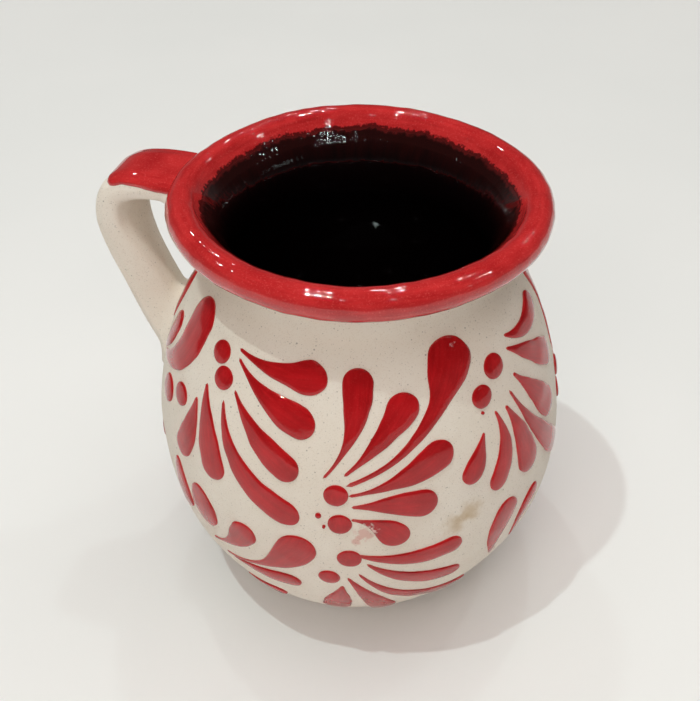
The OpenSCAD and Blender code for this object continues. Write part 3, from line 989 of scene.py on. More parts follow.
@dataclass
class ThrownBody:
    """The thrown clay, the dark glaze inside it and the red coat on its rim.

    Attributes:
        bench: What it is built with.
        steps: Steps round the clay.
        coat_steps: Steps round the coats, whose edges are ragged.
        bury: How far a coat's hidden skin lies in the clay.
        sink: Share of its depth by which a coat goes down at a hidden edge.
        throat_cover: Share of the throat that the dark glaze's skin goes up.
        tuck: How far above the red's edge the dark glaze has gone under it, and starts to.
        red_reach: How far below the roll the red reaches down the throat.
        red_waves: Ripples of the red's edge there.
        red_fade: Half the width over which the red goes down there.
        ink_reach: How far the dark glaze runs up into the red.
        brush_waves: Ripples, in degrees round the roll, of the red's outer edge.
        brush_fade: Degrees before and after that edge over which the red comes up.
        brush_spare: Degrees of hidden skin below it.
        coat_waves: Ripples in the thickness of the red.
    """

    bench: Bench
    steps: int = 176
    coat_steps: int = 400
    bury: float = 0.35 * MM
    sink: float = 0.8
    throat_cover: float = 0.99
    tuck: Point = (1.4 * MM, 0.6 * MM)
    red_reach: float = 3.0 * MM
    red_waves: Waves = (
        (0.35 * MM, 11 * MM, 2.2),
        (0.22 * MM, 3.8 * MM, 5.1),
        (0.07 * MM, 1.7 * MM, 9.4),
    )
    red_fade: float = 0.3 * MM
    ink_reach: float = 2.6 * MM
    brush_waves: Waves = ((5, 7 * MM, 8.4), (3, 1.8 * MM, 1.1))
    brush_fade: Point = (5, 11)
    brush_spare: float = 16
    coat_waves: Waves = ((0.05 * MM, 3.5 * MM, 3.9), (0.04 * MM, 9 * MM, 6.1))

    def clay(self) -> Piece:
        """Builds the floor, belly, neck and roll of the rim in one piece.

        Returns:
            The piece.
        """
        wall = self.bench.wall
        points = [
            *((share * wall.foot_centre[0], 0) for share in (0, 0.4, 0.8)),
            *wall.outer((6, 34, 38, 14)),
            *arc(wall.lip_centre, wall.lip, wall.neck_high - 180, wall.throat_angle, 30)[1:],
            *(wall.throat_point(1 - i / 10) for i in range(1, 10)),
            *wall.inner((10, 22, 22, 6)),
            (0, wall.floor),
        ]
        finish = self.bench.finishes.clay
        mesh = self._shaped(turned(points, self.steps))
        return self.bench.keep(mesh, "thrown_clay", Slot.CLAY, finish, "clay_body")

    def throat_place(self, place: Vector) -> Point:
        """Where a place lies on the straight throat.

        Args:
            place: The place.

        Returns:
            How far below the roll it is, and how far off the clay.
        """
        low, length, along, rise = self.bench.wall.throat
        radius, height = section(place)
        dx, dz = radius - low[0], height - low[1]
        return length - dx * along - dz * rise, dz * along - dx * rise

    def red_end(self, place: Vector) -> float:
        """How far below the roll the red gives way to the dark glaze, beside a place."""
        ring = outward(place) * self.bench.wall.mouth_r
        return self.red_reach + ripples(ring, self.red_waves)

    def sunk(self, place: Vector, depth: float) -> Vector:
        """A place on the throat moved straight into its clay."""
        _, _, along, rise = self.bench.wall.throat
        return place + (outward(place) * rise - Vector((0, 0, along))) * depth

    def inner_glaze(self) -> Piece:
        """Builds the dark glaze, which ends under the ragged inner edge of the red.

        Returns:
            The piece.
        """
        wall = self.bench.wall
        steps, cover = 22, self.throat_cover
        buried = [cover * i / steps for i in range(0, steps + 1, 2)]
        rising = [cover * (1 - i / steps) for i in range(steps)]
        points = [
            (0, wall.floor - self.bury),
            *reversed(wall.inner((4, 10, 10, 4), -self.bury)),
            *(wall.throat_point(share, -self.bury) for share in buried),
            *(wall.throat_point(share, wall.inner_coat) for share in rising),
            *wall.inner((8, 20, 22, 6), wall.inner_coat)[1:],
            (0.5 * wall.floor_round, wall.floor + wall.inner_coat),
            (0, wall.floor + wall.inner_coat),
        ]
        mesh = turned(points, self.coat_steps)
        top = wall.throat_point(1.0)

        def trail(place: Vector) -> Vector:
            """Metres round the mouth and metres down from the roll."""
            around = math.atan2(place.y, place.x) * wall.mouth_r
            return Vector((around, math.dist(section(place), top), 1.0))

        layer = marked(mesh, trail)
        for vert in mesh.verts:
            down, off = self.throat_place(vert.co)
            if abs(off - wall.inner_coat) > ON_SKIN or down > 2 * self.red_reach:
                continue
            edge = self.red_end(vert.co)
            share = 1 - ease(edge - self.tuck[0], edge - self.tuck[1], down)
            vert[layer].y = max(down - edge, 0.0)
            vert.co = self.sunk(vert.co, self.sink * wall.inner_coat * share)
        mesh, finish = self._shaped(mesh), self.bench.finishes.dark
        return self.bench.keep(mesh, "dark_inner_glaze", Slot.DARK, finish, "inner_glaze")

    def rim_glaze(self) -> Piece:
        """Builds the red coat round the roll, thin and ragged at both of its edges.

        Returns:
            The piece.
        """
        wall, centre = self.bench.wall, self.bench.wall.lip_centre
        start = wall.neck_high - 180 + wall.coat_start_turn
        first, last = start - self.brush_spare, wall.throat_angle
        slope = [0.97 - 0.022 * i for i in range(23)]
        points = [
            *arc(centre, wall.lip + wall.coat, first, last, 44),
            *(wall.throat_point(share, wall.coat) for share in slope),
            *(wall.throat_point(share, -self.bury) for share in (slope[-1], 0.7, 0.9)),
            *arc(centre, wall.lip - self.bury, last, first, 12),
        ]
        mesh = turned(points, self.coat_steps, closed=True)

        def trail(place: Vector) -> Vector:
            """Metres round the mouth and metres round the roll."""
            around = math.radians(heading(centre, section(place)) % 360) * wall.lip
            return Vector((math.atan2(place.y, place.x) * section(place)[0], around, 1.0))

        layer = marked(mesh, trail)
        stain = mesh.verts.layers.float.new(STAIN)
        low, thick = wall.lip - self.sink * self.bury, wall.coat + self.sink * self.bury
        for vert in mesh.verts:
            down, off = self.throat_place(vert.co)
            if down > 0.05 * MM and abs(off - wall.coat) < ON_SKIN:
                edge = self.red_end(vert.co)
                vert[stain] = ease(edge - self.ink_reach, edge, down)
                gone = ease(edge - self.red_fade, edge + self.red_fade, down)
                vert.co = self.sunk(vert.co, thick * gone)
                continue
            place = section(vert.co)
            around = heading(centre, place)
            around = around + 360 if around < start - 90 else around
            edge = start + ripples(outward(vert.co) * wall.mouth_r, self.brush_waves)
            cover = ease(edge - self.brush_fade[0], edge + self.brush_fade[1], around)
            away = math.dist(centre, place)
            if away > wall.lip + 0.5 * wall.coat and around < last + 1:
                reach = low + (thick + ripples(vert.co, self.coat_waves)) * cover
                radius, height = polar(centre, reach, around)
                vert.co = outward(vert.co) * radius
                vert.co.z = height
            vert[layer].z = cover
        mesh, finish = self._shaped(mesh), self.bench.finishes.brushed
        return self.bench.keep(mesh, "red_rim_glaze", Slot.RED, finish, "rim_glaze")

    def _shaped(self, mesh: Mesh) -> Mesh:
        """Gives a true skin the potter's hand.

        Args:
            mesh: The skin.

        Returns:
            The same skin.
        """
        for vert in mesh.verts:
            vert.co = self.bench.hand.shape(vert.co)
        return mesh


@dataclass
class StrapHandle:
    """The pulled strap, smoothed into the wall at both ends, and the red on its top.

    The sizes are those of the part's source. A share runs from 0 at the rim to 1 at the
    belly, and an angle of 0 is the side of the strap that faces the front.

    Attributes:
        bench: What it is built with.
        turn: Where it stands round the mug, in degrees.
        reach: How far its middle line goes out.
        bend_h: Height at which it is furthest out.
        foot_h: Height at which it meets the belly.
        widths: Its width at the rim, half way and at the belly.
        thicknesses: Its thickness at the same places.
        leans: How far it is twisted there, in degrees.
        squareness: How square its section is; 2 is an ellipse.
        slip_w: Width of the slip at its foot.
        slip_h: How far the slip climbs the strap.
        rim_slip: Share of that slip that there is at the rim.
        dip_h: Height down to which its top was dipped in the red.
        dip_waves: Ripples of the edge of the dip.
        dip_rise: How much higher that edge is on the crest.
        crest_zone: Distances from the axis between which the crest comes and goes.
        dip_end: Share at which the red's hidden skin ends.
        dip_bury: How far that skin lies in the clay.
        root_drop: How far below the roll's centre it starts, in radii of the roll.
        crest_rise: How far above the roll's centre its crest is, in the same.
        crest_reach: Share of its reach at which the crest is.
        shoulder: Share of the crest's height at which it turns down.
        falls: Shares of its fall at the control points of its lower half.
        pulls: How far these points lie back, as shares of the same fall.
        grooves: Ripples that the pulling hand left along it.
        swells: Slow ripples along it.
        rings: Steps along it.
        sides: Steps round it.
        end_depth: How far its end lies in the belly's clay.
    """

    bench: Bench
    turn: float = -104.5
    reach: float = 58.5 * MM
    bend_h: float = 95 * MM
    foot_h: float = 52 * MM
    widths: Row = (16 * MM, 17 * MM, 11 * MM)
    thicknesses: Row = (5 * MM, 8.5 * MM, 15 * MM)
    leans: Row = (-5, 1, -36)
    squareness: float = 3.5
    slip_w: float = 2.2 * MM
    slip_h: float = 3.4 * MM
    rim_slip: float = 0.5
    dip_h: float = 105.5 * MM
    dip_waves: Waves = ((0.12 * MM, 7 * MM, 3.3), (0.05 * MM, 1.6 * MM, 9.1))
    dip_rise: float = 0.7 * MM
    crest_zone: Row = (44 * MM, 50 * MM, 53 * MM, 57 * MM)
    dip_end: float = 0.46
    dip_bury: float = 0.4 * MM
    root_drop: float = 0.25
    crest_rise: float = 0.4
    crest_reach: float = 0.92
    shoulder: float = 0.75
    falls: Row = (0.235, 0.53, 1)
    pulls: Row = (0, 0.145, 0.385)
    grooves: Waves = ((0.16 * MM, 0.45, 2.9),)
    swells: Waves = ((0.22 * MM, 1.0, 6.3),)
    rings: int = 110
    sides: int = 60
    end_depth: float = 1.6 * MM

    @cached_property
    def upper_curve(self) -> list[Vector]:
        """The upper half of the middle line, from the rim to its outermost point.

        Returns:
            Its control points, as distance from the axis and height.
        """
        wall = self.bench.wall
        root = wall.neck_centre[0] - wall.neck_round, wall.lip_centre[1] - self.root_drop * wall.lip
        crest_z = wall.lip_centre[1] + self.crest_rise * wall.lip
        crest = root[0] + self.crest_reach * (self.reach - root[0]), crest_z
        shoulder = self.reach, self.bend_h + self.shoulder * (crest_z - self.bend_h)
        return [Vector(point) for point in (root, crest, shoulder, (self.reach, self.bend_h))]

    @cached_property
    def lower_curve(self) -> list[Vector]:
        """The lower half of the middle line, from there down into the belly.

        Returns:
            Its control points, as distance from the axis and height.
        """
        start, fall = Vector((self.reach, self.bend_h)), self.bend_h - self.foot_h
        shares = zip((0, *self.pulls), (0, *self.falls), strict=True)
        return [start - fall * Vector((back, down)) for back, down in shares]

    def middle(self, share: float) -> tuple[Vector, float]:
        """The middle line and its heading.

        Args:
            share: Share of the way from the rim to the belly.

        Returns:
            The point, as distance from the axis and height, and the heading in radians.
        """
        if share < 0.5:
            place, along = bent(self.upper_curve, 2 * share)
        else:
            place, along = bent(self.lower_curve, 2 * share - 1)
        return place, math.atan2(along.y, along.x)

    @staticmethod
    def along(three: Row, share: float) -> float:
        """A size at a share of the way, from its values at the rim, half way and the foot."""
        start, end = three[:2] if share < 0.5 else three[1:]
        return start + (end - start) * (2 * share if share < 0.5 else 2 * share - 1)

    def skin(self, share: float, degrees: float, grow: float) -> Vector:
        """A point of the strap's skin, before the strap is turned to its place.

        Args:
            share: Share of the way from the rim to the belly.
            degrees: Angle round the section.
            grow: How far the skin is moved outwards.

        Returns:
            The point, with the distance from the axis as x.
        """
        (x, z), head = self.middle(share)
        lean = math.radians(self.along(self.leans, share))
        angle, power = math.radians(degrees), 2 / self.squareness
        u = (self.along(self.widths, share) / 2 + grow) * powered(math.cos(angle), power)
        v = (self.along(self.thicknesses, share) / 2 + grow) * powered(math.sin(angle), power)
        side = u * math.cos(lean) - v * math.sin(lean)
        out = u * math.sin(lean) + v * math.cos(lean)
        return Vector((x - out * math.sin(head), side, z + out * math.cos(head)))

    def slip(self, share: float, degrees: float) -> float:
        """How much the slip thickens the strap close to the wall.

        Args:
            share: Share of the way from the rim to the belly.
            degrees: Angle round the section.

        Returns:
            Its thickness there.
        """
        reach, height = section(self.skin(share, degrees, 0.0))
        if share < 0.5:
            gap = reach - self.bench.wall.mouth_r
            weight = self.rim_slip * ease(-2.5 * MM, 0.5 * MM, gap)
            weight *= 1 - ease(self.dip_h - 2.5 * MM, self.dip_h, height)
        else:
            gap = reach - self.bench.wall.belly_radius(height)
            weight = 1.0
        return weight * self.slip_w * min(max(1 - gap / self.slip_h, 0.0), 1.0) ** 2

    def fingers(self, share: float, degrees: float) -> float:
        """The shallow grooves and swells that the pulling hand leaves along the strap.

        Args:
            share: Share of the way from the rim to the belly.
            degrees: Angle round the section.

        Returns:
            How far they lift the skin there.
        """
        c, s = math.cos(math.radians(degrees)), math.sin(math.radians(degrees))
        lift = ripples(Vector((c, s, 0.35 * share)), self.grooves)
        return lift + ripples(Vector((0.4 * c, 0.4 * s, 5 * share)), self.swells)

    def seated(self, place: Vector) -> Vector:
        """Keeps a point that lies inside the mug within the thickness of its clay.

        Args:
            place: The point.

        Returns:
            The same point, or the nearest one in the clay.
        """
        wall = self.bench.wall
        radius, height = section(place)
        least, middle = wall.lip_centre
        if height <= middle - 3 * wall.lip:
            least = wall.belly_radius(height) - self.end_depth
        elif radius < least:
            room = wall.lip - 0.6 * MM
            height = middle + min(max(height - middle, -room), room)
        scale = max(least / radius, 1.0)
        return Vector((place.x * scale, place.y * scale, height))

    def tube(self, last: float, rings: int, grow: Callable[[float, float], float]) -> Mesh:
        """Extrudes a ring along the strap and closes it at both ends.

        Args:
            last: Share at which it ends.
            rings: Number of steps.
            grow: How far the skin is moved out at a share and an angle.

        Returns:
            The tube in its place.
        """
        mesh = bmesh.new()
        layer = mesh.verts.layers.float_vector.new(TRAIL)
        made = bmesh.ops.create_circle(mesh, segments=self.sides, radius=1.0, cap_ends=True)
        spin = Matrix.Rotation(math.radians(self.turn - 90), 3, "Z")
        loop = list(made["verts"])
        edges = list(mesh.edges)
        first = self.root_share()
        for ring in range(rings + 1):
            share = first + (last - first) * ring / rings
            if ring:
                out = bmesh.ops.extrude_edge_only(mesh, edges=edges)["geom"]
                edges = [e for e in out if isinstance(e, bmesh.types.BMEdge) and e.is_boundary]
                new = {item for item in out if isinstance(item, bmesh.types.BMVert)}
                loop = [next(v for v in neighbours(old) if v in new) for old in loop]
            for k, vert in enumerate(loop):
                degrees = 360 * k / self.sides
                place = self.skin(share, degrees, grow(share, degrees))
                vert.co = self.bench.hand.shape(spin @ self.seated(place))
                across = math.sin(math.radians(degrees)) * self.widths[0] / 2
                vert[layer] = Vector((share * 2 * self.reach, across, 1.0))
        bmesh.ops.contextual_create(mesh, geom=edges)
        bmesh.ops.recalc_face_normals(mesh, faces=mesh.faces)
        return mesh

    def root_share(self) -> float:
        """The share at which the middle line lies in the roll of the rim."""
        shares = (i / 400 for i in range(200))
        return next(s for s in shares if self.middle(s)[0].x > self.bench.wall.lip_centre[0])

    def surface(self, share: float, degrees: float) -> float:
        """How far the slip and the grooves move the skin out."""
        return self.slip(share, degrees) + self.fingers(share, degrees)

    def strap(self) -> Piece:
        """Builds the strap with its slip.

        Returns:
            The piece.
        """
        mesh, finish = self.tube(1.0, self.rings, self.surface), self.bench.finishes.clay
        nodes = ("strap_handle", "upper_luting", "lower_luting")
        return self.bench.keep(mesh, "pulled_strap", Slot.CLAY, finish, *nodes)

    def red_top(self) -> Piece:
        """Builds the red on the strap's top, with its brushed lower edge.

        Returns:
            The piece.
        """

        def grow(share: float, degrees: float) -> float:
            """How far the red's skin is moved out.

            Args:
                share: Share of the way from the rim to the belly.
                degrees: Angle round the section.

            Returns:
                The distance, less than nothing where the red ends.
            """
            place = self.skin(share, degrees, 0.0)
            come, full, fade, gone = self.crest_zone
            crest = ease(come, full, place.x) * (1 - ease(fade, gone, place.x))
            above = place.z + ripples(place, self.dip_waves) - self.dip_h - self.dip_rise * crest
            cover = ease(-0.5 * MM, 0.5 * MM, above)
            lift = cover * (self.bench.wall.coat + self.dip_bury) - self.dip_bury
            return lift + self.surface(share, degrees)

        mesh, finish = self.tube(self.dip_end, 90, grow), self.bench.finishes.brushed
        layer = mesh.verts.layers.float_vector[TRAIL]
        for vert in mesh.verts:
            vert[layer].z = ease(self.dip_h - 0.4 * MM, self.dip_h + 1.6 * MM, vert.co.z)
        return self.bench.keep(mesh, "red_handle_glaze", Slot.RED, finish, "handle_glaze")


@dataclass(frozen=True)
class Spray:
    """Strokes or dots that are one CAD node.

    Attributes:
        node: Name of the node.
        rows: One row of shares for each stroke or dot, as in the part's source.
        turn: How far the rows are turned round the mug, in degrees.
    """

    node: str
    rows: tuple[Row, ...]
    turn: float = 0.0


@dataclass
class TrailedGlaze:
    """Strokes and dots of red glaze, raised on the bare clay.

    A stroke's row is [tip turn, tip climb, head turn, head climb, bend, width share,
    swell], followed where it needs them by how much it slims towards its head and how much
    of its width is a knob at its head. A dot's is [turn, climb, size share].

    Attributes:
        bench: What it is built with.
        stroke_w: Width of a stroke of width share 1.
        dot_d: Diameter of a dot of size share 1.
        relief: How high the glaze stands.
        bury: How deep its underside lies in the clay.
        tip: Share of its width that a stroke has at its tip.
        tip_round: Share of its length over which its tip is rounded.
        sides: Steps round a stroke.
        rings: Steps along a stroke.
        dot_rings: Steps along a dot.
        tail_share: Share of the steps that the tail takes up.
        knob_rise: How suddenly a knob swells.
        side_power: How square its section is at its sides; less is squarer.
        width_waves: Ripples in its width, as shares of it.
        side_waves: Ripples that move its sides.
        crown_waves: Ripples in its height, as shares of it.
        trail_length: Length that stands for the whole of a stroke in its trail.
    """

    bench: Bench
    stroke_w: float = 9 * MM
    dot_d: float = 5.4 * MM
    relief: float = 0.65 * MM
    bury: float = 0.4 * MM
    tip: float = 0.1
    tip_round: float = 0.03
    sides: int = 22
    rings: int = 46
    dot_rings: int = 16
    tail_share: float = 0.74
    knob_rise: float = 24
    side_power: float = 0.85
    width_waves: Waves = ((0.035, 3.6 * MM, 5.5),)
    side_waves: Waves = ((0.05 * MM, 7 * MM, 1.7),)
    crown_waves: Waves = ((0.12, 5 * MM, 8.8),)
    trail_length: float = 25 * MM

    def stroke_line(self, row: Row) -> tuple[Line, float, float]:
        """The three points that bend a stroke's middle line.

        Args:
            row: The stroke's row.

        Returns:
            Its tip, control and head as (turn, climb), its width and its head's share.
        """
        wall = self.bench.wall
        tip, head = Vector(row[:2]), Vector(row[2:4])
        sx, sy = wall.belly_scale((tip.y + head.y) / 2)
        chord = Vector(((head.x - tip.x) * sx, (head.y - tip.y) * sy))
        left = Vector((-chord.y / sx, chord.x / sy))
        width = self.stroke_w * row[5]
        control = (tip + head) / 2 + 2 * row[4] * left
        return (tip, control, head), width, width / 2 / chord.length

    def place(self, line: Line, share: float, across: float, out: float, turn: float) -> Vector:
        """A point beside the middle line of a stroke.

        Args:
            line: Its tip, control and head as (turn, climb).
            share: Share of its length.
            across: Metres to the left of its middle line.
            out: Metres off the clay.
            turn: How far the spray is turned.

        Returns:
            The place on the wall.
        """
        wall = self.bench.wall
        centre, along = bent(line, share)
        sx, sy = wall.belly_scale(centre.y)
        run = Vector((along.x * sx, along.y * sy)).normalized()
        spot = centre + across * Vector((-run.y / sx, run.x / sy))
        return wall.on_belly(spot.x + turn, spot.y, out)

    def blob(
        self,
        mesh: Mesh,
        line: Line,
        rings: int,
        station: Callable[[float], Point],
        width: float,
        turn: float,
    ) -> None:
        """Pulls a sphere out along a line into a raised stroke whose underside is in the clay.

        Args:
            mesh: Where it is added.
            line: Tip, control and head of the middle line.
            rings: Rings from the tip to the head.
            station: Gives the share of the length and of the width at a share of the rings.
            width: Width of the stroke.
            turn: How far the spray is turned.
        """
        layers = mesh.verts.layers.float_vector
        layer = layers.get(TRAIL) or layers.new(TRAIL)
        made = bmesh.ops.create_uvsphere(mesh, u_segments=self.sides, v_segments=rings, radius=1.0)
        for vert in made["verts"]:
            angle = math.atan2(vert.co.y, vert.co.x)
            side, top = powered(math.cos(angle), self.side_power), math.sin(angle)
            if section(vert.co)[0] < 1e-5:
                side, top = 0.0, 0.0
            t, wide = station(math.acos(min(max(-vert.co.z, -1.0), 1.0)) / math.pi)
            across = side * wide * width / 2
            out = self.relief * math.sqrt(max(wide, 0.0)) if top > 0 else -self.bury
            out *= math.sqrt(abs(top))
            spot = self.place(line, t, across, 0.0, turn)
            across *= 1 + ripples(spot, self.width_waves)
            across += ripples(spot, self.side_waves)
            if top > 0:
                out *= 1 + ripples(spot, self.crown_waves)
            vert.co = self.bench.hand.shape(self.place(line, t, across, out, turn))
            vert[layer] = Vector((t * self.trail_length, across, max(out, 0.0) / self.relief))

    def stroke(self, mesh: Mesh, row: Row, turn: float) -> None:
        """Adds one stroke: a thin tip, a swelling tail and a round head.

        Args:
            mesh: Where it is added.
            row: Its row.
            turn: How far its spray is turned.
        """
        line, width, head_share = self.stroke_line(row)
        slim, knob = (*row[7:], 0.0, 0.0)[:2]

        def station(share: float) -> Point:
            """Where a ring lies and how wide it is.

            Args:
                share: Share of the rings.

            Returns:
                The share of the length and the share of the width.
            """
            if share < self.tail_share:
                t = share / self.tail_share
                rise = math.sin(math.pi / 2 * t)
                swell = (1 - knob) * rise ** row[6] + knob * rise**self.knob_rise
                wide = (self.tip + (1 - self.tip) * swell) * (1 - slim * t * t)
                return t * (1 - head_share), wide * math.sqrt(min(t / self.tip_round, 1.0))
            angle = math.pi / 2 * (share - self.tail_share) / (1 - self.tail_share)
            along = 1 - head_share + head_share * math.sin(angle)
            return along, (1 - slim) * max(math.cos(angle), 0.0)

        self.blob(mesh, line, self.rings, station, width, turn)

    def dot(self, mesh: Mesh, row: Row, turn: float) -> None:
        """Adds one dot.

        Args:
            mesh: Where it is added.
            row: Its row.
            turn: How far its spray is turned.
        """
        size = self.dot_d * row[2]
        spot = Vector(row[:2])
        half = Vector((0, size / 2 / self.bench.wall.belly_scale(row[1])[1]))

        def station(share: float) -> Point:
            """The share of the length and of the width at a share of the rings."""
            angle = math.pi * (share - 0.5)
            return (1 + math.sin(angle)) / 2, max(math.cos(angle), 0.0)

        self.blob(mesh, (spot - half, spot, spot + half), self.dot_rings, station, size, turn)

    def spray(self, spray: Spray) -> Piece:
        """Builds the strokes or dots of one node.

        Args:
            spray: What it holds.

        Returns:
            The piece.
        """
        mesh = bmesh.new()
        for row in spray.rows:
            add = self.stroke if len(row) > 3 else self.dot
            add(mesh, row, spray.turn)
        bmesh.ops.recalc_face_normals(mesh, faces=mesh.faces)
        finish = self.bench.finishes.trailed
        return self.bench.keep(mesh, f"trailed_{spray.node}", Slot.RED, finish, spray.node)


FRONT = (
    (-10, 0.40, -1.5, 0.91, -0.10, 0.76, 3.0),
    (-4.5, 0.42, 15, 0.78, -0.02, 0.80, 2.0, 0, 0.18),
    (-4, 0.37, 32, 0.98, -0.105, 1.20, 2.8, 0, 0.60),
    (-3.3, 0.32, 25, 0.51, -0.045, 0.80, 2.4),
    (-2.5, 0.26, 20, 0.23, 0.04, 0.80, 1.6),
    (-2.5, 0.19, 11.1, 0.03, 0.11, 0.78, 2.5),
)
FRONT_DOTS = ((-6.5, 0.32, 1), (-5.5, 0.16, 1), (-11, 0.20, 0.26), (-9.5, 0.14, 0.15))
LEFT = (
    (-43, 0.86, -10.5, 0.86, -0.055, 0.88, 2.0, 0, 0.34),
    (-42, 0.82, -13, 0.62, -0.04, 0.82, 2.2),
    (-40, 0.68, -17, 0.38, -0.04, 0.76, 1.6),
    (-43, 0.61, -16, 0.15, -0.14, 0.78, 1.3),
    (-51.0, 0.63, -41.5, 0.19, -0.01, 0.82, 1.2),
    (-53.7, 0.53, -58.4, 0.17, 0.07, 0.76, 1.1),
)
LEFT_DOTS = ((-49.5, 0.80, 1), (-45.4, 0.70, 1))
RIGHT = (
    (54, 0.845, 81, 0.845, -0.15, 0.62, 1.1),
    (52.8, 0.788, 77.5, 0.52, 0.01, 0.76, 1.3),
    (52.1, 0.662, 69.5, 0.29, 0, 0.84, 1.5),
    (48.5, 0.605, 71.5, 0.03, -0.05, 0.74, 1.8),
    (45.6, 0.55, 52.4, 0.12, 0.05, 0.80, 1.4),
    (41.3, 0.56, 37.5, 0.16, 0.15, 0.64, 1.4),
    (36, 0.49, 29, 0.27, 0.02, 0.62, 1.3),
)
RIGHT_DOTS = ((45, 0.757, 1.1), (37.7, 0.656, 1), (36.7, 0.583, 0.14))
HANDLE_SIDE = (
    (-84, 0.45, -67, 0.95, -0.24, 1.10, 1.1),
    (-89, 0.42, -79.5, 0.73, -0.10, 0.64, 1.2),
    (-93.5, 0.54, -95, 0.90, -0.10, 0.50, 1.2),
)
HANDLE_SIDE_DOTS = ((-71, 0.385, 1.3), (-61.7, 0.46, 1.05))
LOW_FRONT = (
    (-2.5, -0.025, 27.5, -0.05, -0.09, 0.60, 1.2),
    (1.5, -0.10, 29.5, -0.305, -0.10, 0.64, 1.1, 0.2),
    (-0.7, -0.18, 38, -0.59, -0.12, 0.62, 1.2, 0.25),
    (-3.6, -0.22, 9, -0.69, 0.02, 0.72, 1.3),
    (-5, -0.30, -8, -0.63, 0, 0.78, 1.2),
)
LOW_FRONT_DOTS = ((-3, -0.06, 1.05), (-8.5, -0.22, 0.95))
LOW_LEFT = (
    (-43.5, -0.35, -14.6, 0.04, -0.135, 1.04, 5.5),
    (-47.2, -0.28, -31.6, 0, -0.12, 0.80, 3.2),
    (-40.5, -0.35, -17, -0.32, -0.01, 0.60, 1.6),
    (-40, -0.55, -25, -0.56, -0.15, 0.46, 1.4),
    (-51.5, 0.05, -49, -0.18, 0.13, 1.04, 0.5),
    (-60.5, 0.10, -57.5, -0.20, -0.03, 0.74, 0.6),
)
LOW_RIGHT = ((42, -0.36, 45.3, 0.035, 0.13, 0.84, 1.4), (50, -0.33, 57.3, -0.03, 0.12, 0.52, 1.2))
REAR_RIGHT = ((-6.5, 0.45, 2, 0.93, -0.10, 0.68, 3.0), *FRONT[1:])
REAR_RIGHT_DOTS = (*FRONT_DOTS[:2], (-1, 0.26, 0.26), (0.5, 0.20, 0.15))
SPRAYS = (
    Spray("front_spray", FRONT),
    Spray("front_dots", FRONT_DOTS),
    Spray("left_spray", LEFT),
    Spray("left_dots", LEFT_DOTS),
    Spray("right_spray", RIGHT),
    Spray("right_dots", RIGHT_DOTS),
    Spray("handle_side_spray", HANDLE_SIDE),
    Spray("handle_side_dots", HANDLE_SIDE_DOTS),
    Spray("low_front_spray", LOW_FRONT),
    Spray("low_front_dots", LOW_FRONT_DOTS),
    Spray("low_left_spray", LOW_LEFT),
    Spray("low_right_spray", LOW_RIGHT),
    Spray("rear_right_spray", REAR_RIGHT, 92),
    Spray("rear_right_dots", REAR_RIGHT_DOTS, 92),
    Spray("rear_spray", LEFT, 188),
    Spray("rear_dots", LEFT_DOTS, 188),
    Spray("rear_left_spray", RIGHT, 155),
    Spray("rear_left_dots", RIGHT_DOTS, 155),
    Spray("low_rear_right_spray", LOW_FRONT, 90),
    Spray("low_rear_spray", LOW_FRONT, 142.5),
    Spray("low_rear_left_spray", LOW_FRONT, 195),
    Spray("low_handle_spray", LOW_FRONT, -109),
)


class Glow(Enum):
    """What a lamp is there for: its light, its reflection in the glaze, or both."""

    BOTH = "both"
    FILL = "fill"
    GLINT = "glint"


@dataclass(frozen=True)
class Lamp:
    """One soft round lamp.

    Attributes:
        name: Its name.
        towards: Direction from the mug to the lamp.
        distance: How far it is from the mug.
        width: Its diameter.
        power: Its power in watts.
        glow: What it is there for.
    """

    name: str
    towards: Row
    distance: float
    width: float
    power: float
    glow: Glow = Glow.BOTH


